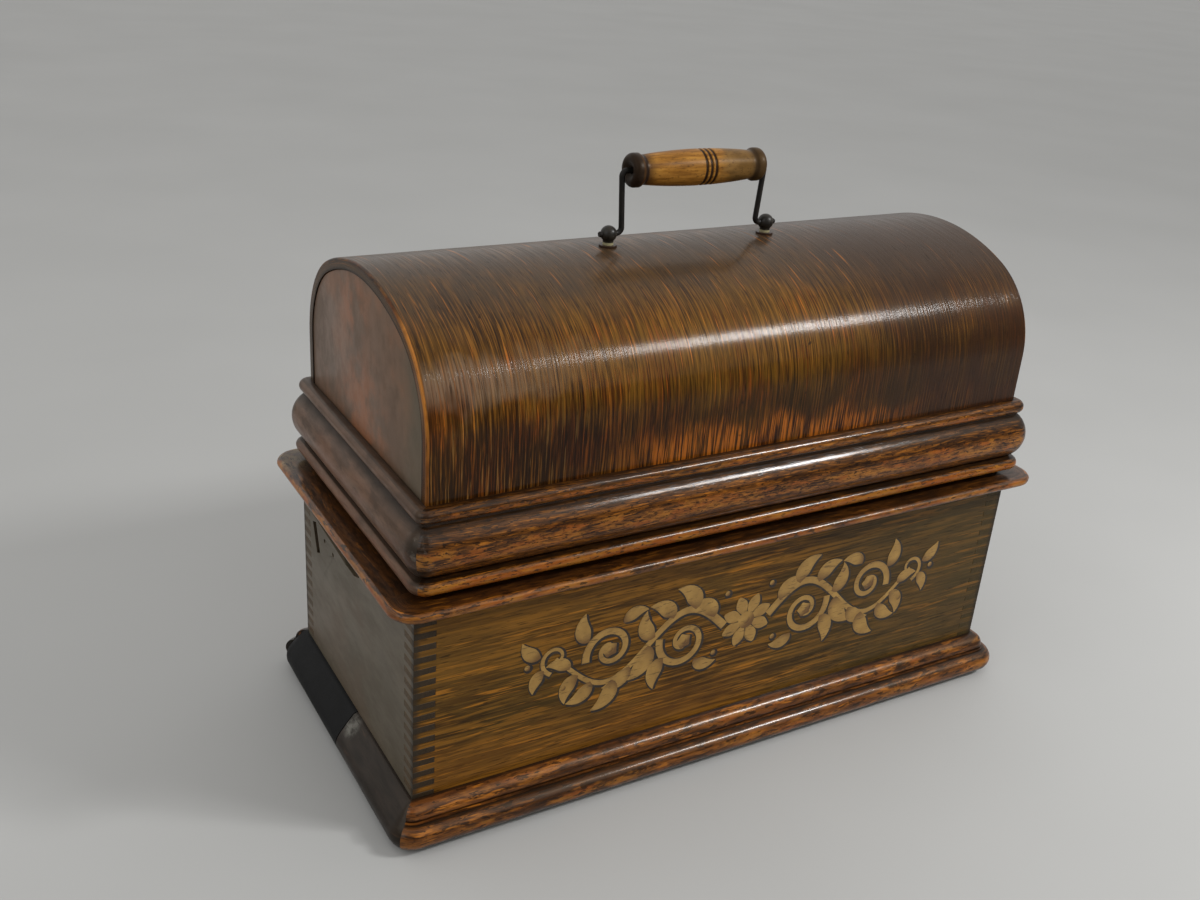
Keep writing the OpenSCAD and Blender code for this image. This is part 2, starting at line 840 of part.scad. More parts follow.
// Spindle
module mandrel_shaft() {
    centre_r = 2.4;
    color(steel)
        difference() {
            union() {
                rod(mandrel_c, pulley_x, shaft_end_x, journal_r);
                rod(mandrel_c, pulley_post_x + post_t + seat_gap, mandrel_post_x - seat_gap, feed_r);
            }
            translate([shaft_end_x - 4, mandrel_c[0], mandrel_c[1]])
                rotate([0, 90, 0])
                    cylinder(h = 4.01, r1 = 0.4, r2 = centre_r);
        }
}

module mandrel() {
    color(steel)
        difference() {
            translate([mandrel_x, mandrel_c[0], mandrel_c[1]])
                rotate([0, 90, 0])
                    cylinder(h = mandrel_l, r1 = mandrel_r0, r2 = mandrel_r1);
            rod(mandrel_c, mandrel_x - 1, mandrel_x + mandrel_l + 1, journal_r);
        }
}

module mandrel_pulley() {
    color(brass)
        pulley(mandrel_c, pulley_x, pulley_w, mandrel_pulley_r, journal_r);
}

module end_gate() {
    mid_x = gate_x + gate_t / 2;
    tip_r = 1.6;
    color(iron)
        difference() {
            union() {
                translate([gate_x, gate_pin_y - gate_reach, mandrel_c[1] - gate_half_h])
                    cube([gate_t, gate_reach, 2 * gate_half_h]);
                translate([mid_x, gate_pin_y, mandrel_c[1] - gate_half_h])
                    cylinder(h = 2 * gate_half_h, r = 7);
                rod(mandrel_c, gate_x - 1, gate_x + gate_t + 6, 4.5);
                translate([gate_x - 1 - 3, mandrel_c[0], mandrel_c[1]])
                    rotate([0, 90, 0])
                        cylinder(h = 3.01, r1 = 0.3, r2 = tip_r);
            }
            translate([mid_x, gate_pin_y, mandrel_c[1] - gate_half_h - 1])
                cylinder(h = 2 * gate_half_h + 2, r = gate_pin_r + run_fit);
        }
}

// Carriage
module carriage_sleeve() {
    color(brass)
        difference() {
            union() {
                rod(rod_c, sleeve_x, sleeve_x + sleeve_l, sleeve_r);
                rod(rod_c, arm_x - seat_gap - 3.5, arm_x - seat_gap, collar_r);
                rod(rod_c, arm_x + arm_w + seat_gap, arm_x + arm_w + seat_gap + 3.5, collar_r);
            }
            rod(rod_c, sleeve_x - 1, sleeve_x + sleeve_l + 1, rod_r + run_fit);
        }
}

module carriage_arm() {
    eye = [arm_mid_x, mandrel_y];
    color(iron)
        difference() {
            union() {
                rod(rod_c, arm_x, arm_x + arm_w, arm_ring_r);
                along_x(arm_x, arm_w)
                    polygon([
                        [rod_y - 11, rod_c[1]], [rod_y + 10, rod_c[1]], [rod_y + 5, arm_z], [rod_y, arm_z + arm_t],
                        [mandrel_y + eye_r - 4, arm_z + arm_t], [mandrel_y + eye_r - 4, arm_z], [rod_y - 6, arm_z]
                    ]);
                translate([eye[0], eye[1], arm_z])
                    cylinder(h = arm_t, r = eye_r);
                translate([eye[0] - finger_w / 2, rail_y - rail_w / 2, arm_z])
                    cube([finger_w, mandrel_y - eye_r + 4 - rail_y + rail_w / 2, arm_t]);
                translate([eye[0] - finger_w / 2, rail_y - rail_w / 2, rail_top + seat_gap])
                    cube([finger_w, rail_w, arm_z - rail_top]);
                rod([rail_y + 5, arm_z + arm_t / 2], eye[0] - finger_w / 2 - 5, eye[0], lever_pin_r);
            }
            rod(rod_c, arm_x - 1, arm_x + arm_w + 1, sleeve_r + run_fit);
            translate([eye[0], eye[1], arm_z - 1])
                cylinder(h = arm_t + 2, r = reproducer_r);
        }
}
lever_pin_r = 1.5;

// Half nut on its spring arm, over the feed screw
module feed_nut_arm() {
    nut_x = sleeve_x + 6;
    nut_w = 10;
    lift = 0.5;
    color(steel)
        difference() {
            union() {
                rod(rod_c, nut_x, nut_x + nut_w, arm_ring_r);
                along_x(nut_x, nut_w)
                    polygon([
                        [rod_y - 8, rod_c[1] + 4], [rod_y, rod_c[1] + 11.5], [mandrel_y + 4, mandrel_c[1] + feed_r + 6],
                        [mandrel_y - 6, mandrel_c[1] + feed_r + 6], [mandrel_y - 6, mandrel_c[1] + 3],
                        [mandrel_y + 6, mandrel_c[1] + 3]
                    ]);
            }
            rod(rod_c, nut_x - 1, nut_x + nut_w + 1, sleeve_r + run_fit);
            rod(mandrel_c, nut_x - 1, nut_x + nut_w + 1, feed_r + lift);
        }
}

module reproducer_body() {
    z0 = arm_z - 4;
    color(brass)
        translate([arm_mid_x, mandrel_y, 0])
            union() {
                translate([0, 0, z0])
                    cylinder(h = 16, r = reproducer_r);
                translate([0, 0, arm_z + arm_t])
                    cylinder(h = 3, r = reproducer_r + 2.5);
                for (x = [-6, 3])
                    translate([x, 14, weight_z - 2])
                        cube([3, 4.5, z0 - weight_z + 2.5]);
                rod([weight_hinge, weight_z], -6, 6, 1);
            }
}
weight_hinge = 16.5;
weight_z = arm_z - 6.6;

module floating_weight() {
    color(brass)
        translate([arm_mid_x, mandrel_y, 0])
            difference() {
                union() {
                    translate([0, 0, weight_z - 1.8])
                        cylinder(h = 3.6, r = 13);
                    translate([-2.6, 0, weight_z - 1.8])
                        cube([5.2, weight_hinge, 3.6]);
                    rod([weight_hinge, weight_z], -2.6, 2.6, 2);
                }
                rod([weight_hinge, weight_z], -10, 10, 1 + run_fit);
            }
}

module sound_tube() {
    wall = 1;
    tube_r = 6;
    z0 = arm_z + 12;
    color(brass)
        translate([arm_mid_x, mandrel_y, z0])
            rotate_extrude()
                polygon([
                    [tube_r - wall, 0], [tube_r + 5, 0], [tube_r + 5, 1.5], [tube_r, 4], [tube_r, 20],
                    [tube_r + 1, 22], [tube_r, 22], [tube_r - wall, 20]
                ]);
}

module lift_lever() {
    lever_x = arm_mid_x - finger_w / 2 - 4.3;
    pin = [rail_y + 5, arm_z + arm_t / 2];
    color(steel)
        difference() {
            union() {
                rod(pin, lever_x, lever_x + 4, 4.5);
                along_x(lever_x, 4)
                    polygon([pin + [-2, -3], pin + [-15, 5], pin + [-16, 9], pin + [2, 4]]);
            }
            rod(pin, lever_x - 1, lever_x + 5, lever_pin_r + run_fit);
        }
}

// Controls
module brake_lever() {
    z0 = bed_z1 + seat_gap;
    color(steel)
        translate([brake_p[0], brake_p[1], z0])
            difference() {
                union() {
                    cylinder(h = 3, r = 7);
                    translate([-3.5, -19, 0])
                        cube([7, 19, 3]);
                    translate([0, -19, 0])
                        cylinder(h = 8, r = 3.5);
                }
                translate([0, 0, -1])
                    cylinder(h = 5, r = brake_stud_r + run_fit);
            }
}

module speed_screw() {
    color(steel)
        translate([speed_p[0], speed_p[1], 0]) {
            translate([0, 0, board_z1 - speed_below])
                cylinder(h = speed_below + bed_t + seat_gap, r = speed_r);
            translate([0, 0, bed_z1 + seat_gap])
                cylinder(h = 7, r = 6, $fn = 12);
        }
}

// Motor
module winding_arbor() {
    color(steel)
        rod(barrel_c, frame_l_x, ratchet_x + ratchet_t + 2, arbor_r);
}

module winding_gear() {
    color(brass)
        difference() {
            crossed_wheel(barrel_c, winding_n, winding_dir, winding_gear_x, gear_t, 5);
            rod(barrel_c, winding_gear_x - 1, winding_gear_x + gear_t + 1, arbor_r);
        }
}

module ratchet_wheel() {
    color(steel)
        along_x(ratchet_x, ratchet_t)
            translate(barrel_c)
                difference() {
                    polygon([
                        for (i = [0:ratchet_n - 1])
                            each [ratchet_r * dir(i * 360 / ratchet_n), (ratchet_r - 3) * dir((i + 0.12) * 360 / ratchet_n)]
                    ]);
                    circle(arbor_r);
                }
}

module ratchet_pawl() {
    tip = barrel_c + (ratchet_r + 0.6) * dir(150);
    side = 2 * dir(58 + 90);
    color(steel)
        difference() {
            union() {
                rod(pawl_c, ratchet_x, ratchet_x + ratchet_t, 5);
                along_x(ratchet_x, ratchet_t)
                    polygon([pawl_c - side, tip, tip + side, pawl_c + 2 * side]);
            }
            rod(pawl_c, ratchet_x - 1, ratchet_x + ratchet_t + 1, pawl_stud_r + run_fit);
        }
}

module winding_shaft() {
    color(steel)
        union() {
            rod(winding_c, frame_r_x - 2, crank_end_x, crank_r);
            wheel(winding_c, pinion_n, pinion_phase(winding_dir), winding_gear_x, gear_t);
        }
}

barrel_wall = 1.5;
module spring_barrel() {
    color(brass)
        difference() {
            rod(barrel_c, barrel_x, great_x, barrel_r);
            rod(barrel_c, barrel_x + 2, great_x + 1, barrel_r - barrel_wall);
            rod(barrel_c, barrel_x - 1, barrel_x + 3, arbor_r + run_fit);
        }
}

module mainspring() {
    color(steel)
        difference() {
            rod(barrel_c, barrel_x + 2 + seat_gap, great_x - seat_gap, barrel_r - barrel_wall - seat_gap);
            rod(barrel_c, barrel_x, great_x + 1, barrel_r * 0.45);
        }
}

module great_gear() {
    color(brass)
        difference() {
            wheel(barrel_c, great_n, first_dir, great_x, gear_t);
            rod(barrel_c, great_x - 1, great_x + gear_t + 1, arbor_r + run_fit);
        }
}

module first_train_wheel() {
    color(brass)
        union() {
            rod(first_c, frame_l_x, motor_end_x, train_r);
            wheel(first_c, pinion_n, pinion_phase(first_dir), great_x - 1, gear_t + 2);
            crossed_wheel(first_c, first_n, second_dir, first_wheel_x, wheel_t, 5);
        }
}

module second_train_wheel() {
    color(brass)
        union() {
            rod(second_c, frame_l_x, motor_end_x, train_r);
            wheel(second_c, pinion_n, pinion_phase(second_dir), first_wheel_x - 1, wheel_t + 2);
            crossed_wheel(second_c, second_n, drive_dir, second_wheel_x, wheel_t, 5);
        }
}

module drive_arbor() {
    color(steel)
        union() {
            rod(drive_c, pulley_x, motor_end_x, train_r);
            wheel(drive_c, pinion_n, pinion_phase(drive_dir), second_wheel_x - 1, wheel_t + 2);
            crossed_wheel(drive_c, governor_n, governor_dir, governor_wheel_x, wheel_t, 5);
        }
}

module drive_pulley() {
    color(brass)
        pulley(drive_c, pulley_x, pulley_w, drive_pulley_r, train_r);
}

governor_collar_r = 4.6;
governor_span = 44;
module governor_spindle() {
    color(steel)
        union() {
            rod(governor_c, frame_l_x, motor_end_x, governor_r);
            wheel(governor_c, pinion_n, pinion_phase(governor_dir), governor_wheel_x - 1, wheel_t + 2);
            rod(governor_c, disc_x, disc_x + 2, 12);
            for (x = [disc_x + 12, disc_x + 12 + governor_span])
                rod(governor_c, x - 3, x + 3, governor_collar_r);
        }
}

// Three round weights on leaf springs that bow out between the spindle's collars
module governor_weights() {
    mid = disc_x + 12 + governor_span / 2;
    half = governor_span / 2 + 3;
    weight_r = 4.2;
    weight_h = 6;
    bow = 7.8;
    color(brass)
        translate([mid, governor_c[0], governor_c[1]])
            for (i = [0:2])
                rotate([i * 120, 0, 0]) {
                    translate([0, 0, bow - weight_h / 3])
                        cylinder(h = weight_h, r = weight_r);
                    translate([0, 2, 0])
                        rotate([90, 0, 0])
                            linear_extrude(4)
                                polygon([
                                    [-half, governor_collar_r], [-half + 6, governor_collar_r], [0, bow],
                                    [half - 6, governor_collar_r], [half, governor_collar_r],
                                    [half - 6, governor_collar_r + 0.6], [0, bow + 0.6], [-half + 6, governor_collar_r + 0.6]
                                ]);
                }
}

// Lid
module dome_shell() {
    color(oak)
        difference() {
            along_x(-dome_w / 2, dome_w)
                difference() {
                    dome_outline(0, lid_z0);
                    dome_outline(sheet_t, lid_z0 - 1);
                }
            for (side = [-1, 1])
                translate([side * eye_span / 2, 0, dome_top - 3 * sheet_t])
                    cylinder(h = 4 * sheet_t, r = post_stem_r);
        }
}

module dome_end(x) {
    along_x(x, dome_end_t)
        dome_outline(sheet_t, lid_z0);
}

module dome_end_left() color(dark_oak) dome_end(-dome_w / 2);
module dome_end_right() color(dark_oak) dome_end(dome_w / 2 - dome_end_t);

module lid_moulding_front() {
    color(dark_oak)
        side_front(dome_d)
            moulding(lid_profile, -dome_w / 2, dome_w / 2, true, true);
}

module lid_moulding_rear() {
    color(dark_oak)
        side_rear(dome_d)
            moulding(lid_profile, -dome_w / 2, dome_w / 2, true, true);
}

module lid_moulding_left() {
    color(dark_oak)
        side_left(dome_w)
            moulding(lid_profile, -dome_d / 2, dome_d / 2, true, true);
}

module lid_moulding_right() {
    color(dark_oak)
        side_right(dome_w)
            moulding(lid_profile, -dome_d / 2, dome_d / 2, true, true);
}

module handle_eye_posts() {
    nut_h = 3;
    color(brass)
        for (side = [-1, 1])
            translate([side * eye_span / 2, 0, 0])
                difference() {
                    union() {
                        translate([0, 0, crown_under - nut_h])
                            cylinder(h = pivot_z - crown_under + nut_h, r = post_stem_r);
                        translate([0, 0, crown_under - nut_h])
                            cylinder(h = nut_h, r = post_washer_r, $fn = 6);
                        translate([0, 0, crown_flat])
                            cylinder(h = 1.2, r = post_washer_r);
                        translate([0, 0, pivot_z])
                            sphere(ball_r);
                    }
                    rod([0, pivot_z], -2 * ball_r, 2 * ball_r, wire_r + run_fit);
                }
}

// Side of the bail, from its top straight down the leg and out through the eye post
module bail_side() {
    foot_l = 2 * ball_r + ball_gap + 1.5;
    rotate([90, 0, 0])
        translate([bail_top_x, grip_z, 0])
            wire_path([[-90 - lean, leg_l], [90 + lean, foot_l]]);
}

module bail() {
    color(iron)
        union() {
            rod([0, grip_z], -bail_top_x - bend_lap, bail_top_x + bend_lap, wire_r);
            bail_side();
            mirror([1, 0, 0])
                bail_side();
        }
}

module grip() {
    end = grip_l / 2;
    collar = 8;
    bore = wire_r + grip_clear;
    belly = end - collar;
    rise = grip_r - grip_neck_r;
    belly_r = (belly * belly + rise * rise) / (2 * rise);
    belly_a = asin(belly / belly_r);
    ring = 1.2;
    color(oak)
        translate([0, 0, grip_z])
            rotate([0, 90, 0])
                rotate_extrude()
                    polygon(concat(
                        [[bore, -end + 2], [grip_collar_r - 4, -end]],
                        arc([grip_collar_r - 3, -end + 3], 3, -90, 0, 3),
                        [[grip_collar_r, -end + collar - 2]],
                        arc([grip_r - belly_r, 0], belly_r, -belly_a, -1.5 * ring, 6),
                        [for (k = [-1:1]) each [[grip_r, 3 * k - ring], [grip_r - 0.7, 3 * k], [grip_r, 3 * k + ring]]],
                        arc([grip_r - belly_r, 0], belly_r, 1.5 * ring, belly_a, 6),
                        [[grip_collar_r, end - collar + 2]],
                        arc([grip_collar_r - 3, end - 3], 3, 0, 90, 3),
                        [[grip_collar_r - 4, end], [bore, end - 2]]
                    ));
}

front_panel();
rear_panel();
left_end_panel();
right_end_panel();
bottom_board();
base_moulding_front();
base_moulding_rear();
base_moulding_right();
base_moulding_left_front();
base_moulding_left_rear();
crank_escutcheon();
lower_hinge_leaves();
top_board();
upper_hinge_leaves();
bedplate();
bedplate_screws();
motor_frame_left();
motor_frame_right();
motor_pillars();
winding_bracket();
back_rod();
straight_edge();
drive_belt();
mandrel_shaft();
mandrel();
mandrel_pulley();
end_gate();
carriage_sleeve();
carriage_arm();
feed_nut_arm();
reproducer_body();
sound_tube();
floating_weight();
lift_lever();
brake_lever();
speed_screw();
winding_arbor();
winding_gear();
ratchet_wheel();
ratchet_pawl();
winding_shaft();
spring_barrel();
mainspring();
great_gear();
first_train_wheel();
second_train_wheel();
drive_arbor();
drive_pulley();
governor_spindle();
governor_weights();
dome_shell();
dome_end_left();
dome_end_right();
lid_moulding_front();
lid_moulding_rear();
lid_moulding_left();
lid_moulding_right();
handle_eye_posts();
bail();
grip();
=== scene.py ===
import math

import bmesh
import bpy
from mathutils import Matrix, Vector, noise


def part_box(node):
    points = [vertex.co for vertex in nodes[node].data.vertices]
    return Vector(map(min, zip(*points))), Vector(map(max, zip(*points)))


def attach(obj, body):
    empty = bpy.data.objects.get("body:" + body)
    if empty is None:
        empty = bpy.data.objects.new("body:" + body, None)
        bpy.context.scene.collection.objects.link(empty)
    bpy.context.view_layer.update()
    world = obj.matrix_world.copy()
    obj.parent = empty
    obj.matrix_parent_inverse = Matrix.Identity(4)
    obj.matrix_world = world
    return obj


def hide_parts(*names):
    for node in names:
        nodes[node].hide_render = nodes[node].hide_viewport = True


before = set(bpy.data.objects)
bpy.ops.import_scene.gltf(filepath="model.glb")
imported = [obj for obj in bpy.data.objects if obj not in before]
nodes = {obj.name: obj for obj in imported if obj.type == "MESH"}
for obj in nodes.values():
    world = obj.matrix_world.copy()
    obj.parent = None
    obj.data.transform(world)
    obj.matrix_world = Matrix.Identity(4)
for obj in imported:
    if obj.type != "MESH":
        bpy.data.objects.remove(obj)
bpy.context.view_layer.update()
scene = bpy.context.scene

# Sizes in millimetres, as in the part's source
MM = 0.001
CASE_W = 400.0
CASE_D = 176.0
BASE_H = 25.5
BASE_OUT = 16.0
BASE_TORUS_R = 7.0
BASE_TORUS_Z = 9.0
BASE_ROUND_R = 7.5
BASE_FILLET = (9.8, 17.3)
BASE_JOINT_Y = -5.0
BASE_CRACK = 0.8
BOARD_Z0 = 140.8
BOARD_T = 5.5
BOARD_OUT = 14.5
OPENING_X = 170.0
OPENING_Y = 62.0
LID_Z0 = 146.6
LID_MOULDING_Z = 150.6
LID_MOULDING_H = 45.0
TORUS_OUT = 11.2
TORUS_R = 16.5
LOWER_BEAD_R = 3.7
LOWER_BEAD_IN = 1.8
UPPER_BEAD_R = 4.0
UPPER_BEAD_IN = 4.7
DOME_W = 388.0
DOME_D = 174.0
DOME_TOP = 287.0
DOME_RISE = 63.0
SHOULDER_R = 56.0
SHEET_T = 6.0
DOME_END_T = 12.0
DOME_EDGE = 1.12
DOME_RIPPLE = 0.14
RIPPLE_Z = 200
RIPPLE_RISE = 60
SHOULDER_Y = DOME_D / 2 - SHOULDER_R
CROWN_R = (DOME_RISE ** 2 + SHOULDER_Y ** 2 - SHOULDER_R ** 2) / (2 * (DOME_RISE - SHOULDER_R))
CROWN_A = math.degrees(math.asin(SHOULDER_Y / (CROWN_R - SHOULDER_R)))

# Length over the dome's section to its crown, and the crack there at the left end, in metres
CROWN_RUN = (DOME_TOP - DOME_RISE - LID_Z0 + SHOULDER_R * math.radians(90 - CROWN_A)
             + CROWN_R * math.radians(CROWN_A)) * MM
CRACK_HALF = 0.0003
CRACK_END = -0.1928

# Grip, bail and eye posts
GRIP_L = 87.0
GRIP_R = 10.0
GRIP_NECK_R = 8.0
GRIP_COLLAR_R = 9.3
RING_X = 4.5
RING_GAP = 3.2
WIRE_R = 1.6
BEND_R = 3.0
LEAN = 4.0
BAIL_H = 34.0
GRIP_Z = sum(v.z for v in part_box("grip")) / 2 / MM
EYE_X = 53.0
BALL_R = 4.6
BALL_GAP = 0.2

# Front ornament: step between its layers and depth into the wood, its middle and scale, and its stem's wave
LAYER_STEP = 0.001
LAYER_SINK = 0.02
ORNAMENT_X = 6.0
ORNAMENT_Z = 84.0
ORNAMENT_SCALE = 1.12
STEM_START = 14.0
STEM_END = 112.0
STEM_WAVE = 92.0
STEM_RISE = 15.0

# Mouldings: heading of a straight run, spacing and depth of the dents, and depth between their woods
STRAIGHT = 270
DENT_ALONG = 0.03
DENT_TURN = 0.05
DENT_UP = 0.2
MOULDING_DENT = 0.1
MOULDING_LAYER = 37.0
BOARD_DENT = 0.12
BOARD_LAYER = 53.0

# Softened edges of the CAD nodes, and the floor
WELD_GAP = 1e-5
EDGE_WIDTH = 0.25
EDGE_ANGLE = 40
FLOOR_SIZE = 9.0
FLOOR_DROP = 0.0006

# Camera, from a fit to the photograph
YAW = math.radians(31.328)
PITCH = math.radians(24.345)
ROLL = math.radians(4.313)
EYE = Vector((-0.39695, -0.57313, 0.46712))
FOCAL_PX = 1249.93
IMAGE_W = 1200
SENSOR = 36.0


def make_camera():
    forward = Vector((math.sin(YAW) * math.cos(PITCH), math.cos(YAW) * math.cos(PITCH), -math.sin(PITCH)))
    right = Vector((math.cos(YAW), -math.sin(YAW), 0))
    up = right.cross(forward)
    cam_x = math.cos(ROLL) * right + math.sin(ROLL) * up
    cam_y = -math.sin(ROLL) * right + math.cos(ROLL) * up
    turn = Matrix((cam_x, cam_y, -forward)).transposed().to_4x4()
    data = bpy.data.cameras.new("camera")
    data.sensor_fit = "HORIZONTAL"
    data.sensor_width = SENSOR
    data.lens = SENSOR * FOCAL_PX / IMAGE_W
    data.clip_start = 0.01
    data.clip_end = 100
    camera = bpy.data.objects.new("camera", data)
    camera.matrix_world = Matrix.Translation(EYE) @ turn
    scene.collection.objects.link(camera)
    scene.camera = camera


make_camera()
scene.view_settings.view_transform = "Standard"

# Tints of the reflection on a bare surface and on varnish
WHITE = (1.0, 1.0, 1.0)
VARNISH = (1.0, 0.72, 0.42)


class Shader:
    """A material's node tree, with short calls for the nodes that it uses."""

    def __init__(self, name):
        self.material = bpy.data.materials.new(name)
        self.material.use_nodes = True
        self.tree = self.material.node_tree
        self.surface = self.tree.nodes["Principled BSDF"]
        self.colour = None
        self.rough = 0.5

    def put(self, socket, value):
        if isinstance(value, bpy.types.NodeSocket):
            self.tree.links.new(value, socket)
        elif isinstance(value, (tuple, list)) and len(value) == 3 and socket.type == "RGBA":
            socket.default_value = (*value, 1.0)
        else:
            socket.default_value = value

    def add(self, kind, inputs=None, **settings):
        node = self.tree.nodes.new("ShaderNode" + kind)
        for key, value in settings.items():
            setattr(node, key, value)
        for key, value in (inputs or {}).items():
            self.put(node.inputs[key], value)
        return node

    def attribute(self, name, output="Vector"):
        return self.add("Attribute", attribute_name=name).outputs[output]

    def place(self):
        return self.add("TexCoord").outputs["Object"]

    def facing(self):
        return self.add("TexCoord").outputs["Normal"]

    def parts(self, vector):
        return self.add("SeparateXYZ", {0: vector}).outputs

    def join(self, x, y, z):
        return self.add("CombineXYZ", {0: x, 1: y, 2: z}).outputs[0]

    def grain(self, vector, scale, detail, rough, shift=(0, 0, 0)):
        """Noise by its scale per metre along the first axis and across it, or along all three."""
        scale = (*scale, *scale[-1:])[:3]
        place = self.add("VectorMath", {0: vector, 1: scale, 2: shift}, operation="MULTIPLY_ADD").outputs[0]
        inputs = {"Vector": place, "Scale": 1.0, "Detail": detail, "Roughness": rough}
        return self.add("TexNoise", inputs).outputs["Fac"]

    def math(self, operation, a, b=0.0):
        return self.add("Math", {0: a, 1: b}, operation=operation).outputs[0]

    def times(self, a, b):
        return self.math("MULTIPLY", a, b)

    def plus(self, a, b):
        return self.math("ADD", a, b)

    def sway(self, value, amount):
        """Noise centred on 0 and scaled to an amount."""
        return self.times(self.math("SUBTRACT", value, 0.5), amount)

    def remap(self, value, low, high, to_low=0.0, to_high=1.0):
        inputs = {0: value, 1: low, 2: high, 3: to_low, 4: to_high}
        return self.add("MapRange", inputs, interpolation_type="SMOOTHSTEP").outputs[0]

    def near(self, vector, point, inner, outer):
        """1 within inner metres of a point, falling to 0 at outer."""
        gap = self.add("VectorMath", {0: vector, 1: point}, operation="DISTANCE").outputs["Value"]
        return self.remap(gap, inner, outer, 1.0, 0.0)

    def mix(self, factor, a, b, blend="MIX"):
        node = self.add("Mix", data_type="RGBA", blend_type=blend)
        self.put(node.inputs[0], factor)
        self.put(node.inputs[6], a)
        self.put(node.inputs[7], b)
        return node.outputs[2]

    def stain(self, tone, *shares, blend="MIX"):
        """Mixes a tone into the colour by the product of its shares; it lays stains and wear, and painted
        light and shade too.
        """
        factor = shares[0]
        for share in shares[1:]:
            factor = self.times(factor, share)
        self.colour = self.mix(factor, self.colour, tone, blend)

    def ramp(self, value, stops):
        node = self.add("ValToRGB", {0: value})
        points = node.color_ramp.elements
        while len(points) < len(stops):
            points.new(0.5)
        for point, (place, colour) in zip(points, stops):
            point.position = place
            point.color = (*colour, 1.0)
        return node.outputs[0]

    def bump(self, height, strength, depth):
        inputs = {"Height": height, "Strength": strength, "Distance": depth}
        normal = self.add("Bump", inputs).outputs[0]
        self.put(self.surface.inputs["Normal"], normal)
        self.put(self.surface.inputs["Coat Normal"], normal)

    def finish(self, coat=0.0, coat_rough=0.1, metal=0.0, specular=0.3, tint=WHITE):
        inputs = self.surface.inputs
        inputs["Specular Tint"].default_value = (*tint, 1.0)
        self.put(inputs["Base Color"], self.colour)
        self.put(inputs["Roughness"], self.rough)
        inputs["Coat Weight"].default_value = coat
        inputs["Coat Roughness"].default_value = coat_rough
        inputs["Metallic"].default_value = metal
        inputs["Specular IOR Level"].default_value = specular
        return self.material


def deepen(tone, share):
    return tuple(share * c for c in tone)


def plan_corner(s):
    """Distance out from the middle along X and along Y, the same at all four corners."""
    x, y, _ = s.parts(s.place())
    return s.join(s.math("ABSOLUTE", x), s.math("ABSOLUTE", y), 0.0)


def swizzle(s, along):
    """Coordinates with the grain along their first axis: the grain attribute, or object axes."""
    if along == "grain":
        return s.attribute("grain")
    x, y, z = s.parts(s.place())
    return {"x": s.join(x, y, z), "y": s.join(y, x, z), "z": s.join(z, x, y)}[along]


def oak(name, along, tones, streak=(7, 150), fine=(26, 480), lines=(18, 300, 0.58), flake=(16, 330, 0.62),
        patch=(5, 8), rough=(0.3, 0.48), coat=0.3, coat_rough=0.14, relief=0.06, wear_and_shading=0.0, specks=0,
        extra=None, pores=0.7, dark_lines=0.6, specular=0.2, bend=9.0, chip=(40, 130)):
    """Varnished oak with a figure of streaks, fine hairs, pale lines and flakes, in the tones of the wood.

    A figure is given as its scale along the grain and across it, per metre; lines and flakes add a threshold.
    """
    shade, body, light, flash, blotch = tones
    s = Shader(name)
    g = swizzle(s, along)
    wave = s.grain(g, (9, 30), 2, 0.5)
    wander = s.join(0.0, s.times(wave, bend * MM), 0.0)
    g = s.add("VectorMath", {0: g, 1: wander}, operation="ADD").outputs[0]
    line_level = lines[2]
    flake_level = flake[2]
    broad = s.grain(g, patch, 3, 0.55)
    band = s.grain(g, streak, 3, 0.55, (3, 1, 5))
    hair = s.grain(g, fine, 4, 0.65, (7, 2, 1))
    thin = s.grain(g, lines[:2], 1, 0.5, (4, 6, 2))
    glint = s.grain(g, flake[:2], 2, 0.6, (1, 9, 4))
    pore = s.grain(g, (90, 1500), 2, 0.5, (2, 4, 8))
    figure = s.plus(s.times(band, 0.35), s.times(hair, 0.65))
    s.colour = s.ramp(figure, [(0.4, shade), (0.5, body), (0.64, light)])
    s.stain(blotch, s.remap(broad, 0.48, 0.66, 0.0, 0.55))
    s.stain(shade, s.remap(broad, 0.34, 0.5, 0.75, 0.0))
    s.stain(light, s.remap(thin, line_level, line_level + 0.1, 0.0, 0.7))
    s.stain(shade, s.remap(thin, 0.34, 0.42, dark_lines, 0.0))
    shown = s.remap(glint, flake_level, flake_level + 0.1)
    bright = s.times(shown, s.remap(broad, 0.38, 0.55, 0.25, 1.0))
    s.stain(flash, bright, 0.85)
    s.rough = s.remap(figure, 0.35, 0.65, rough[1], rough[0])
    if extra:
        extra(s, g)
    s.stain(deepen(shade, 0.35), s.remap(pore, 0.3, 0.42, pores, 0.0))
    if wear_and_shading:
        crest = s.attribute("wear_and_shading", "Fac")
        chips = s.times(s.grain(g, chip, 4, 0.7, (5, 5, 5)), crest)
        # Grime and painted shade: darker in the hollows of a profile, where the attribute is low
        s.stain(deepen(shade, 0.14), s.remap(crest, 0.0, 0.5, 0.9, 0.0))
        tint = s.grain(g, (60, 170), 3, 0.6, (9, 2, 6))
        red, green, blue = flash
        redder = (0.8 * red, 0.62 * green, 0.7 * blue)
        yellower = (red, 1.12 * green, 1.3 * blue)
        rubbed = s.mix(s.remap(tint, 0.4, 0.6), redder, yellower)
        # Rubbed paler wood on the crests: real wear, with painted highlight where the attribute runs high, as
        # on the lower bead
        s.stain(rubbed, s.remap(chips, 0.42, 0.62, 0.0, wear_and_shading))
        s.rough = s.plus(s.rough, s.remap(crest, 0.0, 0.4, 0.25, 0.0))
    if specks:
        fleck = s.grain(g, (specks, 3.4 * specks), 3, 0.65, (3, 8, 2))
        s.stain(deepen(shade, 0.5), s.remap(fleck, 0.38, 0.45, 0.85, 0.0))
    ridge = s.plus(hair, s.times(thin, 0.6))
    s.bump(s.plus(ridge, s.remap(pore, 0.3, 0.42, 0.0, 0.5)), 0.4, relief * MM)
    return s.finish(coat, coat_rough, 0.0, specular, VARNISH)


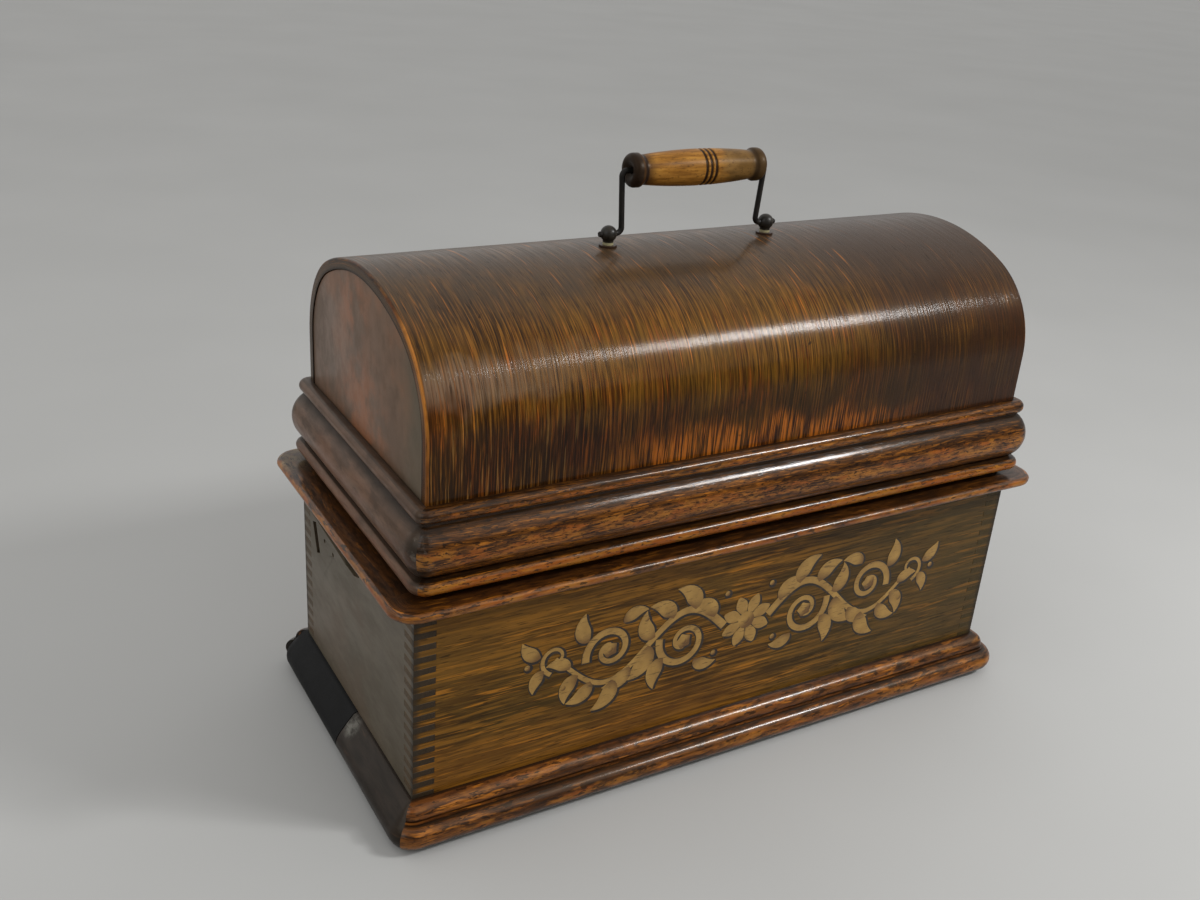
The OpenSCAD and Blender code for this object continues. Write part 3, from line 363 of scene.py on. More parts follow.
# Tones of the wood: shade, body, light, flake and patch
DOME_TONES = ((0.013, 0.0046, 0.0008), (0.056, 0.0205, 0.0022), (0.235, 0.098, 0.013), (0.42, 0.145, 0.015),
              (0.094, 0.043, 0.0043))
FRONT_TONES = ((0.032, 0.014, 0.0026), (0.09, 0.04, 0.0052), (0.225, 0.098, 0.0115), (0.36, 0.14, 0.013),
               (0.06, 0.037, 0.007))
# The left ends, of the case and of the dome, take greyer tones than the right: partly the oak's own dull
# tone, partly painted grey reflection of a pale room
END_TONES = ((0.082, 0.066, 0.044), (0.1, 0.082, 0.056), (0.112, 0.089, 0.061), (0.14, 0.095, 0.06),
             (0.116, 0.08, 0.053))
LID_END_TONES = ((0.112, 0.068, 0.043), (0.14, 0.084, 0.054), (0.158, 0.092, 0.058), (0.21, 0.106, 0.057),
                 (0.235, 0.106, 0.053))
MOULD_TONES = ((0.016, 0.005, 0.001), (0.088, 0.028, 0.0034), (0.215, 0.074, 0.008), (0.38, 0.128, 0.0105),
               (0.12, 0.038, 0.0045))
SIDE_TONES = ((0.054, 0.027, 0.014), (0.098, 0.05, 0.027), (0.138, 0.07, 0.037), (0.2, 0.09, 0.041),
              (0.16, 0.066, 0.03))
RIM_TONES = ((0.026, 0.0086, 0.0028), (0.098, 0.032, 0.006), (0.205, 0.069, 0.01), (0.38, 0.128, 0.013),
             (0.12, 0.036, 0.008))
DARK_TONES = ((0.005, 0.0034, 0.0028), (0.011, 0.0068, 0.005), (0.02, 0.0118, 0.008), (0.042, 0.021, 0.0115),
              (0.014, 0.008, 0.0058))
RIGHT_TONES = ((0.034, 0.0165, 0.005), (0.076, 0.037, 0.01), (0.135, 0.064, 0.015), (0.21, 0.09, 0.017),
               (0.064, 0.035, 0.011))
INNER_TONES = ((0.11, 0.063, 0.03), (0.2, 0.122, 0.06), (0.27, 0.175, 0.092), (0.33, 0.2, 0.095),
               (0.17, 0.1, 0.05))


# Dark and pale tones of the other surfaces
BLACK = ((0.003, 0.003, 0.0032), (0.008, 0.008, 0.008))
IRON = ((0.004, 0.0037, 0.0034), (0.016, 0.012, 0.009))
JAPAN = ((0.01, 0.0098, 0.0098), (0.02, 0.019, 0.018))
POSTS = ((0.006, 0.0052, 0.0042), (0.026, 0.02, 0.013))
STEEL = ((0.42, 0.42, 0.42), (0.58, 0.575, 0.565))
NICKEL = ((0.56, 0.55, 0.52), (0.68, 0.665, 0.63))
BRASS = ((0.4, 0.26, 0.075), (0.62, 0.44, 0.16))
LEATHER = ((0.045, 0.022, 0.01), (0.105, 0.055, 0.026))


def window(s, value, low, high, soft):
    """1 between low and high, falling to 0 over a soft length outside them."""
    return s.times(s.remap(value, low - soft, low), s.remap(value, high, high + soft, 1.0, 0.0))


# Tones of the dome's sheet; rust and low darken what is there, and the others are mixed in. Low is grime with
# painted shade towards the foot, high is a duller tone with painted grey reflection near the crown, and the
# hazy tone is a painted highlight
SHEET = {
    "rust": (1.0, 0.62, 0.55), "low": (0.6, 0.5, 0.36),
    "foot": (0.38, 0.106, 0.0085), "dim": (0.024, 0.012, 0.0012),
    "gold": (0.19, 0.086, 0.0075), "dull": (0.014, 0.005, 0.0009),
    "pale": (0.26, 0.132, 0.034), "haze_highlight": (0.2, 0.132, 0.082),
    "plum": (0.024, 0.0085, 0.0034), "high": (0.05, 0.0325, 0.0195),
    "calm": (0.037, 0.0195, 0.0105), "stripe": (0.3, 0.105, 0.017),
    "spot": (0.012, 0.0048, 0.002), "edge": (0.02, 0.0085, 0.004),
    "tan_low": (0.17, 0.058, 0.009), "tan": (0.44, 0.165, 0.028),
    "crack": (0.004, 0.003, 0.002),
}


def dome_tones(s, g):
    """Bands and stains of the dome's sheet, with painted highlight and painted shade, by length over the arc
    and along the box.
    """
    over, along, _ = s.parts(g)
    drift = s.sway(s.grain(g, (22, 22), 3, 0.6, (8, 3, 1)), 0.05)
    level = s.plus(over, drift)
    place = s.plus(along, drift)
    spark = s.grain(g, (30, 860), 2, 0.6, (6, 6, 1))
    stain = s.grain(g, (34, 40), 4, 0.6, (2, 7, 5))
    spot = s.grain(g, (110, 120), 2, 0.5, (5, 1, 3))
    rust = s.times(s.remap(stain, 0.42, 0.62), s.remap(level, 0.16, 0.1))
    s.stain(SHEET["rust"], rust, 0.75, blend="MULTIPLY")
    # Darker towards the foot of the sheet: grime with painted shade
    s.stain(SHEET["low"], s.remap(level, 0.098, 0.075, 0.0, 0.85), blend="MULTIPLY")
    foot = s.times(window(s, level, 0.05, 0.058, 0.014), window(s, place, -0.05, 0.08, 0.05))
    s.stain(SHEET["foot"], foot, s.remap(spark, 0.46, 0.6, 0.0, 0.85))
    dim = s.times(window(s, level, 0.072, 0.092, 0.014), s.remap(place, -0.12, -0.02))
    s.stain(SHEET["dim"], dim, 0.5)
    gold = s.times(window(s, level, 0.1, 0.165, 0.03), window(s, place, -0.11, 0.06, 0.06))
    s.stain(SHEET["gold"], gold, s.remap(spark, 0.4, 0.62, 0.0, 0.5))
    dull = s.times(s.remap(place, -0.08, -0.15), s.remap(level, 0.12, 0.06))
    s.stain(SHEET["dull"], dull, s.remap(spark, 0.46, 0.54, 0.85, 0.0))
    s.stain(SHEET["pale"], dull, s.remap(spark, 0.58, 0.68, 0.0, 0.6))
    # Painted highlight: a pale haze on the left of the shoulder
    haze_highlight = s.times(window(s, level, 0.102, 0.112, 0.011), s.remap(place, -0.09, -0.16))
    s.stain(SHEET["haze_highlight"], haze_highlight, s.remap(spark, 0.36, 0.6, 0.2, 0.6))
    s.stain(SHEET["plum"], s.remap(place, 0.06, 0.14), s.remap(stain, 0.3, 0.6, 0.25, 0.75))
    # Greyer towards the crown: a duller tone with painted grey reflection
    s.stain(SHEET["high"], s.remap(level, 0.115, 0.165), s.remap(stain, 0.36, 0.6, 0.62, 0.9))
    s.stain(SHEET["calm"], s.remap(place, 0.01, 0.11), s.remap(level, 0.115, 0.155, 0.25, 0.85))
    rare = s.grain(g, (17, 480), 2, 0.6, (3, 5, 9))
    stripe = s.times(s.remap(rare, 0.63, 0.72), s.remap(place, 0.16, 0.06, 0.25, 0.75))
    s.stain(SHEET["stripe"], stripe, s.remap(level, 0.12, 0.15))
    s.stain(SHEET["spot"], s.remap(spot, 0.7, 0.76, 0.0, 0.8))
    edge = s.remap(s.attribute("wear_and_shading", "Fac"), 0.7, 0.98)
    hand = s.times(s.remap(along, 0.0, -0.1), window(s, level, 0.02, 0.138, 0.012))
    bare = s.times(hand, s.remap(spark, 0.35, 0.5, 0.4, 1.0))
    tan = s.mix(s.remap(level, 0.075, 0.095), SHEET["tan_low"], SHEET["tan"])
    worn = s.mix(bare, SHEET["edge"], tan)
    gaps = s.grain(g, (70, 0), 3, 0.6, (1, 1, 1))
    s.stain(worn, edge, s.remap(gaps, 0.3, 0.5, 0.45, 0.95))
    slit = window(s, over, CROWN_RUN - CRACK_HALF, CROWN_RUN + CRACK_HALF, CRACK_HALF)
    s.stain(SHEET["crack"], slit, s.remap(along, CRACK_END, CRACK_END - 0.0008))


# Tones of the case's ends and front, of the dome's left end, and of grime and wear at the corners
FAINT_FINGER = (0.05, 0.036, 0.013)
GRIMY_ARRIS = (0.02, 0.016, 0.012)
FRONT_GREEN = (0.052, 0.037, 0.013)
FRONT_GOLD = (0.27, 0.118, 0.016)
FRONT_AMBER = (0.26, 0.098, 0.011)
FRONT_CUT = ((0.062, 0.045, 0.03), (0.092, 0.069, 0.046))
END_CUT = ((0.01, 0.006, 0.003), (0.03, 0.017, 0.008))
END_CUT_RIGHT = ((0.022, 0.012, 0.005), (0.045, 0.025, 0.01))
RUBBED_SPOTS = (((0.013, 0.262), 0.004, 0.032), ((0.0, 0.206), 0.012, 0.05))
RUBBED_TONE = (0.27, 0.106, 0.048)
GREY_FRONT = (0.098, 0.084, 0.059)
MITRE_CORNER = (0.203, 0.096, 0.0)
MITRE_GRIME = (0.014, 0.0125, 0.011)
MITRE_RUB = (0.12, 0.108, 0.092)
BLACK_STAIN = (0.0055, 0.0055, 0.0057)
BARE_BOARD = ((0.13, 0.085, 0.045), (0.3, 0.215, 0.12))
BARE_BASE = ((0.045, 0.042, 0.036), (0.16, 0.155, 0.135))
POST_FOOT = (0.3, 0.27, 0.15)
POST_RIM = (0.03, 0.013, 0.006)


def end_grain(axis, dark_tone, pale_tone):
    """Tones of the faces that look along an axis, where the boards are cut across."""
    def change(s, g):
        facing = s.math("ABSOLUTE", s.parts(s.facing())[axis])
        cut = s.remap(facing, 0.6, 0.8, 0.0, 0.9)
        rings = s.grain(s.place(), (900, 900), 2, 0.6)
        dark = s.ramp(rings, [(0.3, dark_tone), (0.7, pale_tone)])
        if axis == 1:
            x = s.parts(s.place())[0]
            dark = s.mix(s.remap(x, 0.0, 0.1, 0.0, 0.85), dark, FAINT_FINGER)
        s.stain(dark, cut)
        arris = s.near(plan_corner(s), (CASE_W / 2 * MM, CASE_D / 2 * MM, 0.0), 0.001, 0.0045)
        s.stain(GRIMY_ARRIS, arris, 0.75)
        s.rough = s.plus(s.rough, s.times(cut, 0.2))
    return change


def front_tones(s, g):
    """Golden to the left and along the top of the front, dull and greenish to the right."""
    x, _, z = s.parts(s.place())
    drift = s.sway(s.grain(g, (9, 20), 3, 0.6, (2, 2, 7)), 0.12)
    right = s.remap(s.plus(x, drift), 0.0, 0.13)
    s.stain(FRONT_GREEN, right, 0.6)
    top = s.times(s.remap(s.plus(z, drift), 0.09, 0.13), s.remap(x, 0.05, -0.08))
    s.stain(FRONT_GOLD, top, 0.35)
    low = s.times(s.remap(s.plus(z, drift), 0.065, 0.04), s.remap(x, 0.06, -0.06))
    s.stain(FRONT_AMBER, low, 0.3)
    end_grain(0, *FRONT_CUT)(s, g)


def lid_end_tones(s, g):
    """Warm rubbed patches in the middle of the dome's end, greyer towards the front."""
    cloud = s.grain(s.place(), (60, 60), 4, 0.62, (4, 1, 2))
    _, y, z = s.parts(s.place())
    for point, inner, outer in RUBBED_SPOTS:
        warm = s.times(s.near(s.join(y, z, 0.0), (*point, 0.0), inner, outer), s.remap(cloud, 0.35, 0.6))
        s.stain(RUBBED_TONE, warm, 0.8)
    s.stain(GREY_FRONT, s.remap(y, -0.045, -0.075, 0.0, 0.8))


def dark_mitre(s, g):
    """Grime at the four mitred corners of the lid's mouldings, with a few pale rubs."""
    rub = s.grain(s.place(), (220, 220), 4, 0.65, (6, 1, 4))
    mask = s.near(plan_corner(s), MITRE_CORNER, 0.003, 0.014)
    tone = s.ramp(rub, [(0.55, MITRE_GRIME), (0.72, MITRE_RUB)])
    s.stain(tone, mask, 0.85)


def black_end(s, g):
    """Black stain on the rear base moulding where it meets the black left piece."""
    x, y, _ = s.parts(s.place())
    s.stain(BLACK_STAIN, s.remap(x, -0.196, -0.201), s.remap(y, 0.05, 0.06))


def pale_corner(point, inner, outer, low, high):
    """Wears the finish off round a corner, down to paler wood."""
    def change(s, g):
        spread = s.grain(s.place(), (160, 160), 4, 0.65)
        mask = s.times(s.near(s.place(), point, inner, outer), s.remap(spread, 0.35, 0.55))
        pale = s.ramp(spread, [(0.35, low), (0.65, high)])
        s.stain(pale, mask)
        s.rough = s.plus(s.rough, s.times(mask, 0.3))
    return change


def plain(name, tones, scale, rough, metal=0.0, coat=0.0, scratch=0.0, relief=0.02, split=None, specular=0.4):
    """Cast, japanned, plated or leather surface: two tones in a mottle, with fine scratches."""
    s = Shader(name)
    p = s.place()
    mottle = s.grain(p, (scale, scale), 5, 0.65)
    grit = s.grain(p, (1800, 1800), 3, 0.6)
    s.colour = s.ramp(mottle, [(0.32, tones[0]), (0.7, tones[1])])
    s.rough = s.remap(mottle, 0.3, 0.7, rough[0], rough[1])
    if split:
        level, low_tone, low_rough = split
        x, y, z = s.parts(p)
        below = s.remap(z, level * MM, (level + 0.25) * MM, 1.0, 0.0)
        out = s.math("SUBTRACT", s.math("ABSOLUTE", x), EYE_X * MM)
        out = s.math("SQRT", s.plus(s.times(out, out), s.times(y, y)))
        s.stain(s.mix(s.remap(out, 0.0029, 0.0033), low_tone, POST_RIM), below)
        kept = s.times(s.rough, s.math("SUBTRACT", 1.0, below))
        s.rough = s.plus(kept, s.times(below, low_rough))
    if scratch:
        line = s.grain(p, (70, 2200), 2, 0.5)
        s.rough = s.plus(s.rough, s.remap(line, 0.45, 0.65, 0.0, scratch))
    s.bump(grit, 0.3, relief * MM)
    return s.finish(coat, 0.12, metal, specular)


def make_materials():
    """Every finish but the grip's and the transfer's, by its short name."""
    plain_end = dict(rough=(0.36, 0.5), coat=0.25, coat_rough=0.26, pores=0.14, dark_lines=0.15)
    panel = dict(streak=(10, 160), fine=(30, 800), patch=(10, 18), bend=6.0, coat=0.2, coat_rough=0.22,
                 specular=0.1)
    warm = dict(lines=(20, 560, 0.58), flake=(24, 420, 0.62), **panel)
    edge = dict(streak=(26, 180), fine=(90, 420), lines=(50, 340, 0.6), flake=(50, 300, 0.58), patch=(12, 26))
    half_w = CASE_W / 2 * MM
    half_d = CASE_D / 2 * MM
    board_corner = (-half_w - 0.008, half_d + 0.008, (BOARD_Z0 + 4) * MM)
    base_corner = (-half_w - 0.006, -0.011, 0.021)
    return {
        "dome": oak(
            "dome_oak", "grain", DOME_TONES, streak=(18, 520), fine=(32, 1050), lines=(28, 860, 0.56),
            flake=(30, 760, 0.6), patch=(12, 14), dark_lines=0.35, bend=2.5, rough=(0.3, 0.46), coat=0.26,
            coat_rough=0.15, relief=0.18, wear_and_shading=0.3, extra=dome_tones, specular=0.06),
        "front": oak(
            "front_oak", "x", FRONT_TONES, lines=(20, 560, 0.55), flake=(24, 420, 0.58), extra=front_tones,
            **panel),
        "end": oak(
            "end_oak", "y", END_TONES, streak=(14, 34), fine=(40, 120), lines=(16, 60, 0.7),
            flake=(14, 60, 0.72), patch=(16, 18), extra=end_grain(1, *END_CUT), **plain_end),
        "end_right": oak("end_oak_right", "y", RIGHT_TONES, extra=end_grain(1, *END_CUT_RIGHT), **warm),
        "dome_end_right": oak("dome_end_oak_right", "y", RIGHT_TONES, **warm),
        "dome_end_left": oak(
            "dome_end_oak", "z", LID_END_TONES, streak=(30, 36), fine=(90, 140), lines=(40, 60, 0.7),
            flake=(30, 50, 0.72), patch=(26, 28), extra=lid_end_tones, **plain_end),
        "mould": oak(
            "moulding_oak", "grain", MOULD_TONES, streak=(30, 340), fine=(90, 1000), lines=(60, 800, 0.59),
            flake=(80, 950, 0.57), patch=(14, 70), coat=0.42, coat_rough=0.13, wear_and_shading=0.7, specks=230,
            specular=0.1, extra=dark_mitre, chip=(80, 280)),
        "side": oak(
            "moulding_oak_side", "grain", SIDE_TONES, streak=(16, 60), fine=(60, 200), lines=(20, 90, 0.7),
            flake=(24, 100, 0.68), patch=(14, 30), coat=0.25, coat_rough=0.24, wear_and_shading=0.3, pores=0.3,
            extra=dark_mitre),
        "rim": oak(
            "rim_oak", "grain", RIM_TONES, coat=0.5, coat_rough=0.13, wear_and_shading=0.65, specks=130,
            extra=pale_corner(board_corner, 0.008, 0.034, *BARE_BOARD), **edge),
        "base": oak(
            "base_oak", "grain", RIM_TONES, coat=0.35, coat_rough=0.15, wear_and_shading=0.6, specks=110, extra=black_end,
            **edge),
        "base_dark": oak(
            "base_dark_oak", "grain", DARK_TONES, streak=(20, 120), fine=(60, 300), lines=(24, 160, 0.66),
            flake=(36, 200, 0.66), patch=(12, 24), coat=0.25, coat_rough=0.22, wear_and_shading=0.4,
            extra=pale_corner(base_corner, 0.003, 0.009, *BARE_BASE)),
        "inner": oak("unfinished_oak", "x", INNER_TONES, rough=(0.55, 0.75), coat=0.0),
        "black_wood": plain("black_wood", BLACK, 90, (0.4, 0.55), scratch=0.12, relief=0.03, specular=0.12),
        "iron": plain("black_iron", IRON, 260, (0.36, 0.55), scratch=0.1, specular=0.22),
        "japan": plain("japanned_iron", JAPAN, 70, (0.2, 0.34), coat=0.4, scratch=0.08),
        "posts": plain(
            "eye_post_iron", POSTS, 300, (0.3, 0.5), scratch=0.1, specular=0.3,
            split=(GRIP_Z - BAIL_H - BALL_R, POST_FOOT, 0.35)),
        "steel": plain("bright_steel", STEEL, 120, (0.24, 0.4), 1.0, scratch=0.1),
        "nickel": plain("nickel_plate", NICKEL, 80, (0.14, 0.26), 1.0, scratch=0.08),
        "brass": plain("aged_brass", BRASS, 110, (0.24, 0.42), 1.0, scratch=0.1),
        "leather": plain("belt_leather", LEATHER, 240, (0.55, 0.75), relief=0.08),
    }


def grip_material():
    """Honey-coloured turned wood, dark at the collars and in the three rings, greener on the right."""
    s = Shader("turned_grip")
    p = s.place()
    x = s.parts(p)[0]
    hair = s.grain(p, (40, 420), 4, 0.65)
    broad = s.grain(p, (60, 110), 3, 0.6)
    speck = s.grain(p, (420, 900), 3, 0.6)
    honey = [(0.3, (0.11, 0.042, 0.007)), (0.5, (0.255, 0.108, 0.017)), (0.7, (0.4, 0.19, 0.034))]
    s.colour = s.ramp(hair, honey)
    green = s.ramp(broad, [(0.35, (0.075, 0.042, 0.012)), (0.65, (0.2, 0.11, 0.034))])
    shifted = s.plus(x, s.times(broad, 0.024))
    s.stain(green, s.remap(shifted, 0.022, 0.03, 0.0, 0.85))
    s.stain((0.05, 0.02, 0.005), s.remap(speck, 0.33, 0.43, 0.6, 0.0))
    shadow = s.math("SUBTRACT", s.times(broad, 0.003), x)
    s.stain((0.04, 0.016, 0.006), s.remap(shadow, 0.03, 0.0375, 0.0, 0.85))
    s.stain((0.05, 0.029, 0.012), s.remap(x, 0.03, 0.037, 0.0, 0.8))
    ring = s.remap(s.attribute("wear_and_shading", "Fac"), 0.15, 0.6, 0.94, 0.0)
    ring = s.times(ring, s.remap(x, 0.03, 0.034, 1.0, 0.55))
    s.stain((0.011, 0.006, 0.005), ring)
    s.stain((0.01, 0.007, 0.006), s.remap(x, -0.0385, -0.0395, 0.0, 0.8))
    s.bump(hair, 0.3, 0.05 * MM)
    s.rough = s.remap(broad, 0.3, 0.7, 0.36, 0.52)
    return s.finish(0.06, 0.3, 0.0, 0.12, VARNISH)


def gilt_material():
    """Worn tan gold of a transfer, shaded brown where its attribute is low, with wood showing through."""
    s = Shader("worn_gilding")
    p = s.place()
    cloud = s.grain(p, (90, 90), 3, 0.6)
    grit = s.grain(p, (120, 700, 900), 4, 0.7)
    s.colour = s.ramp(cloud, [(0.3, (0.255, 0.14, 0.032)), (0.7, (0.395, 0.23, 0.058))])
    s.stain((0.095, 0.038, 0.01), s.remap(s.attribute("wear_and_shading", "Fac"), 0.2, 0.85, 0.85, 0.0))
    s.stain((0.07, 0.038, 0.011), s.remap(grit, 0.56, 0.66, 0.0, 0.75))
    s.bump(grit, 0.2, 0.03 * MM)
    s.rough = s.remap(cloud, 0.3, 0.7, 0.38, 0.5)
    return s.finish(0.2, 0.25)


def shade_material():
    """Black shading line of the transfer, thinned by wear."""
    s = Shader("worn_black_line")
    p = s.place()
    grit = s.grain(p, (120, 700, 900), 4, 0.7)
    s.colour = s.ramp(grit, [(0.5, (0.012, 0.009, 0.007)), (0.68, (0.06, 0.034, 0.012))])
    s.bump(grit, 0.2, 0.03 * MM)
    s.rough = s.remap(grit, 0.3, 0.7, 0.36, 0.55)
    return s.finish(0.2, 0.25)


materials = make_materials()
materials["grip"] = grip_material()
materials["gilt"] = gilt_material()
materials["shade"] = shade_material()


def make_piece(name, verts, faces, body, material, replaces=(), grain=None, wear_and_shading=None, sharp=35.0):
    """A mesh piece from millimetre points, with its grain attribute and its attribute of wear and painted
    shading, riding on a body.
    """
    mesh = bpy.data.meshes.new(name)
    mesh.from_pydata([Vector(v) * MM for v in verts], [], faces)
    if grain:
        layer = mesh.attributes.new("grain", "FLOAT_VECTOR", "POINT")
        layer.data.foreach_set("vector", [c * MM for g in grain for c in g])
    if wear_and_shading:
        layer = mesh.attributes.new("wear_and_shading", "FLOAT", "POINT")
        layer.data.foreach_set("value", wear_and_shading)
    work = bmesh.new()
    work.from_mesh(mesh)
    bmesh.ops.remove_doubles(work, verts=work.verts, dist=1e-6)
    bmesh.ops.dissolve_degenerate(work, edges=work.edges, dist=1e-7)
    bmesh.ops.recalc_face_normals(work, faces=work.faces)
    work.to_mesh(mesh)
    work.free()
    mesh.shade_smooth()
    mesh.set_sharp_from_angle(angle=math.radians(sharp))
    mesh.materials.append(materials[material])
    piece = bpy.data.objects.new(name, mesh)
    scene.collection.objects.link(piece)
    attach(piece, body)
    if replaces:
        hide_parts(*replaces)


def ring_faces(rows, count, wrap=False):
    """Faces between rows of points that close round, with the last row joined to the first or both capped."""
    faces = []
    for k in range(rows if wrap else rows - 1):
        n = (k + 1) % rows
        for i in range(count):
            j = (i + 1) % count
            faces.append((k * count + i, k * count + j, n * count + j, n * count + i))
    if not wrap:
        last = (rows - 1) * count
        faces.append(tuple(range(count)))
        faces.append(tuple(range(last + count - 1, last - 1, -1)))
    return faces


def circle(n):
    return [2 * math.pi * k / n for k in range(n)]


def arc(c, r, a0, a1, n):
    turns = [math.radians(a0 + (a1 - a0) * i / n) for i in range(n + 1)]
    return [(c[0] + r * math.cos(a), c[1] + r * math.sin(a)) for a in turns]


def bead(c, r, a0, a1, n, low=0.0, power=0.7, top=1.0, skew=1.0):
    """Arc of a moulding profile, worn most at its crest, which a skew under 1 moves down; its low ends give
    grime and painted shade in the hollows, and a top above 1 paints the crest paler still.
    """
    out = []
    for i, (p, z) in enumerate(arc(c, r, a0, a1, n)):
        out.append((p, z, low + (top - low) * max(0.0, math.sin(math.pi * (i / n) ** skew)) ** power))
    return out


def base_profile():
    r = BASE_TORUS_R
    lower = bead((BASE_OUT - r, BASE_TORUS_Z), r, -75, 75, 20, 0.15)
    out, z = BASE_FILLET
    fillet = [(out, z - 1.3, 0.0), (out, z, 0.7), (out - 1.4, z, 0.05)]
    upper = bead((1.2, BASE_H - BASE_ROUND_R - 0.2), BASE_ROUND_R, 0, 88, 16, 0.1)
    return [(0, 0, 0.1), (BASE_OUT - 8, 0, 0.1)] + lower + fillet + upper + [(0, BASE_H, 0.0)]


def plain_base_profile():
    """Sloping profile of the left end, its corners cut twice to round them."""
    line = [(9.5, 0.0), (12.0, 2.2), (13.4, 5.0), (13.8, 8.0), (13.0, 11.0), (10.5, 15.0),
            (3.2, BASE_H - 1.3), (1.8, BASE_H - 0.3), (0.0, BASE_H)]
    for _ in range(2):
        cut = [line[0]]
        for a, b in zip(line, line[1:]):
            cut.append((0.75 * a[0] + 0.25 * b[0], 0.75 * a[1] + 0.25 * b[1]))
            cut.append((0.25 * a[0] + 0.75 * b[0], 0.25 * a[1] + 0.75 * b[1]))
        line = cut + [line[-1]]
    return [(0, 0, 0.4)] + [(p, z, 0.75) for p, z in line]


def board_profile():
    r = BOARD_T / 2
    nose = bead((BOARD_OUT - r, BOARD_Z0 + r), r, -90, 90, 18, 0.25, 0.7, 1.2)
    return [(0, BOARD_Z0, 0.2)] + nose + [(0, BOARD_Z0 + BOARD_T, 0.15)]


def lid_profile():
    z0 = LID_MOULDING_Z
    z1 = z0 + LID_MOULDING_H
    half = (LID_MOULDING_H - 2 * LOWER_BEAD_R - 2 * UPPER_BEAD_R - 2) / 2
    middle = z0 + 2 * LOWER_BEAD_R + 1 + half
    open_a = math.degrees(math.asin(half / TORUS_R))
    toe = (TORUS_OUT - LOWER_BEAD_IN - LOWER_BEAD_R, z0 + LOWER_BEAD_R)
    # The lower bead's crest runs to 1.8 and sits low: painted shade on its upper half under the torus, and
    # painted light on its lower half
    lower = bead(toe, LOWER_BEAD_R, -90, 75, 14, 0.1, 0.9, 1.8, 0.72)
    torus = bead((TORUS_OUT - TORUS_R, middle), TORUS_R, -open_a, open_a, 24, 0.05, 1.5, 1.05, 0.88)
    nose = (TORUS_OUT - UPPER_BEAD_IN - UPPER_BEAD_R, z1 - UPPER_BEAD_R)
    upper = bead(nose, UPPER_BEAD_R, -75, 48, 12, 0.1)
    ledge = [(p, z, 0.24) for p, z in arc(nose, UPPER_BEAD_R, 58, 90, 4)]
    return [(0, z0, 0.1)] + lower + torus + upper[:-1] + [(*upper[-1][:2], 0.6)] + ledge + [(0, z1, 0.1)]


def place_side(side, size, point):
    """From a wall that faces -Y along X to one of the four sides of a rectangle."""
    x, y, z = point
    y = y - size / 2
    return {"front": (x, y, z), "rear": (-x, -y, z), "left": (y, -x, z), "right": (-y, x, z)}[side]


def lengths(profile):
    total = [0.0]
    for a, b in zip(profile, profile[1:]):
        total.append(total[-1] + math.hypot(b[0] - a[0], b[1] - a[1]))
    return total


def stations_along(x0, x1, mitre_left, mitre_right, step=8.0, turns=8):
    """Places along a moulding and its heading there, with half of a right-angle corner at each mitre."""
    stations = []
    if mitre_left:
        stations += [(x0, STRAIGHT - 45 + 45 * i / turns) for i in range(turns)]
    count = max(2, round((x1 - x0) / step))
    stations += [(x0 + (x1 - x0) * i / count, STRAIGHT) for i in range(count + 1)]
    if mitre_right:
        stations += [(x1, STRAIGHT + 45 * i / turns) for i in range(1, turns + 1)]
    return stations


def swept(profile, stations, side, size, depth, seed, layer):
    """Points of a profile at its stations, with shallow dents, and their grain and their wear and painted
    shading.
    """
    verts, grain, wear_and_shading = [], [], []
    for base_x, turn in stations:
        a = math.radians(turn)
        for (p, z, w), v in zip(profile, lengths(profile)):
            spot = Vector((base_x * DENT_ALONG + turn * DENT_TURN, z * DENT_UP, seed))
            dent = depth * w * noise.noise(spot)
            out = p + dent if p > 1 else p
            x = base_x + out * math.cos(a)
            verts.append(place_side(side, size, (x, out * math.sin(a), z)))
            grain.append((x, v, layer))
            wear_and_shading.append(w)
    return verts, grain, wear_and_shading


def make_moulding(name, profile, side, size, ends, mitres, body, material, seed):
    stations = stations_along(*ends, *mitres)
    verts, grain, wear_and_shading = swept(profile, stations, side, size, MOULDING_DENT, seed, MOULDING_LAYER * seed)
    faces = ring_faces(len(stations), len(profile))
    make_piece(name + "_looks", verts, faces, body, material, (name,), grain, wear_and_shading)


def make_mouldings():
    long_base = CASE_W / 2
    short_base = CASE_D / 2
    both = (True, True)
    for seed, side, size, half, material in (
        (1, "front", DOME_D, DOME_W / 2, "mould"), (2, "rear", DOME_D, DOME_W / 2, "mould"),
        (3, "left", DOME_W, DOME_D / 2, "side"), (4, "right", DOME_W, DOME_D / 2, "mould"),
    ):
        make_moulding("lid_moulding_" + side, lid_profile(), side, size, (-half, half), both, "lid", material,
                      seed)
    for seed, side, size, half in (
        (5, "front", CASE_D, long_base), (6, "rear", CASE_D, long_base), (7, "right", CASE_W, short_base),
    ):
        make_moulding("base_moulding_" + side, base_profile(), side, size, (-half, half), both, "cabinet",
                      "base", seed)
    front = (-BASE_JOINT_Y + BASE_CRACK / 2, short_base)
    rear = (-short_base, -BASE_JOINT_Y - BASE_CRACK / 2)
    for seed, name, ends, mitres, material, slot in (
        (8, "left_front", front, (False, True), "base_dark", "dark_oak"),
        (9, "left_rear", rear, (True, False), "black_wood", "black_wood"),
    ):
        make_moulding("base_moulding_" + name, plain_base_profile(), "left", CASE_W, ends, mitres, "cabinet",
                      material, seed)


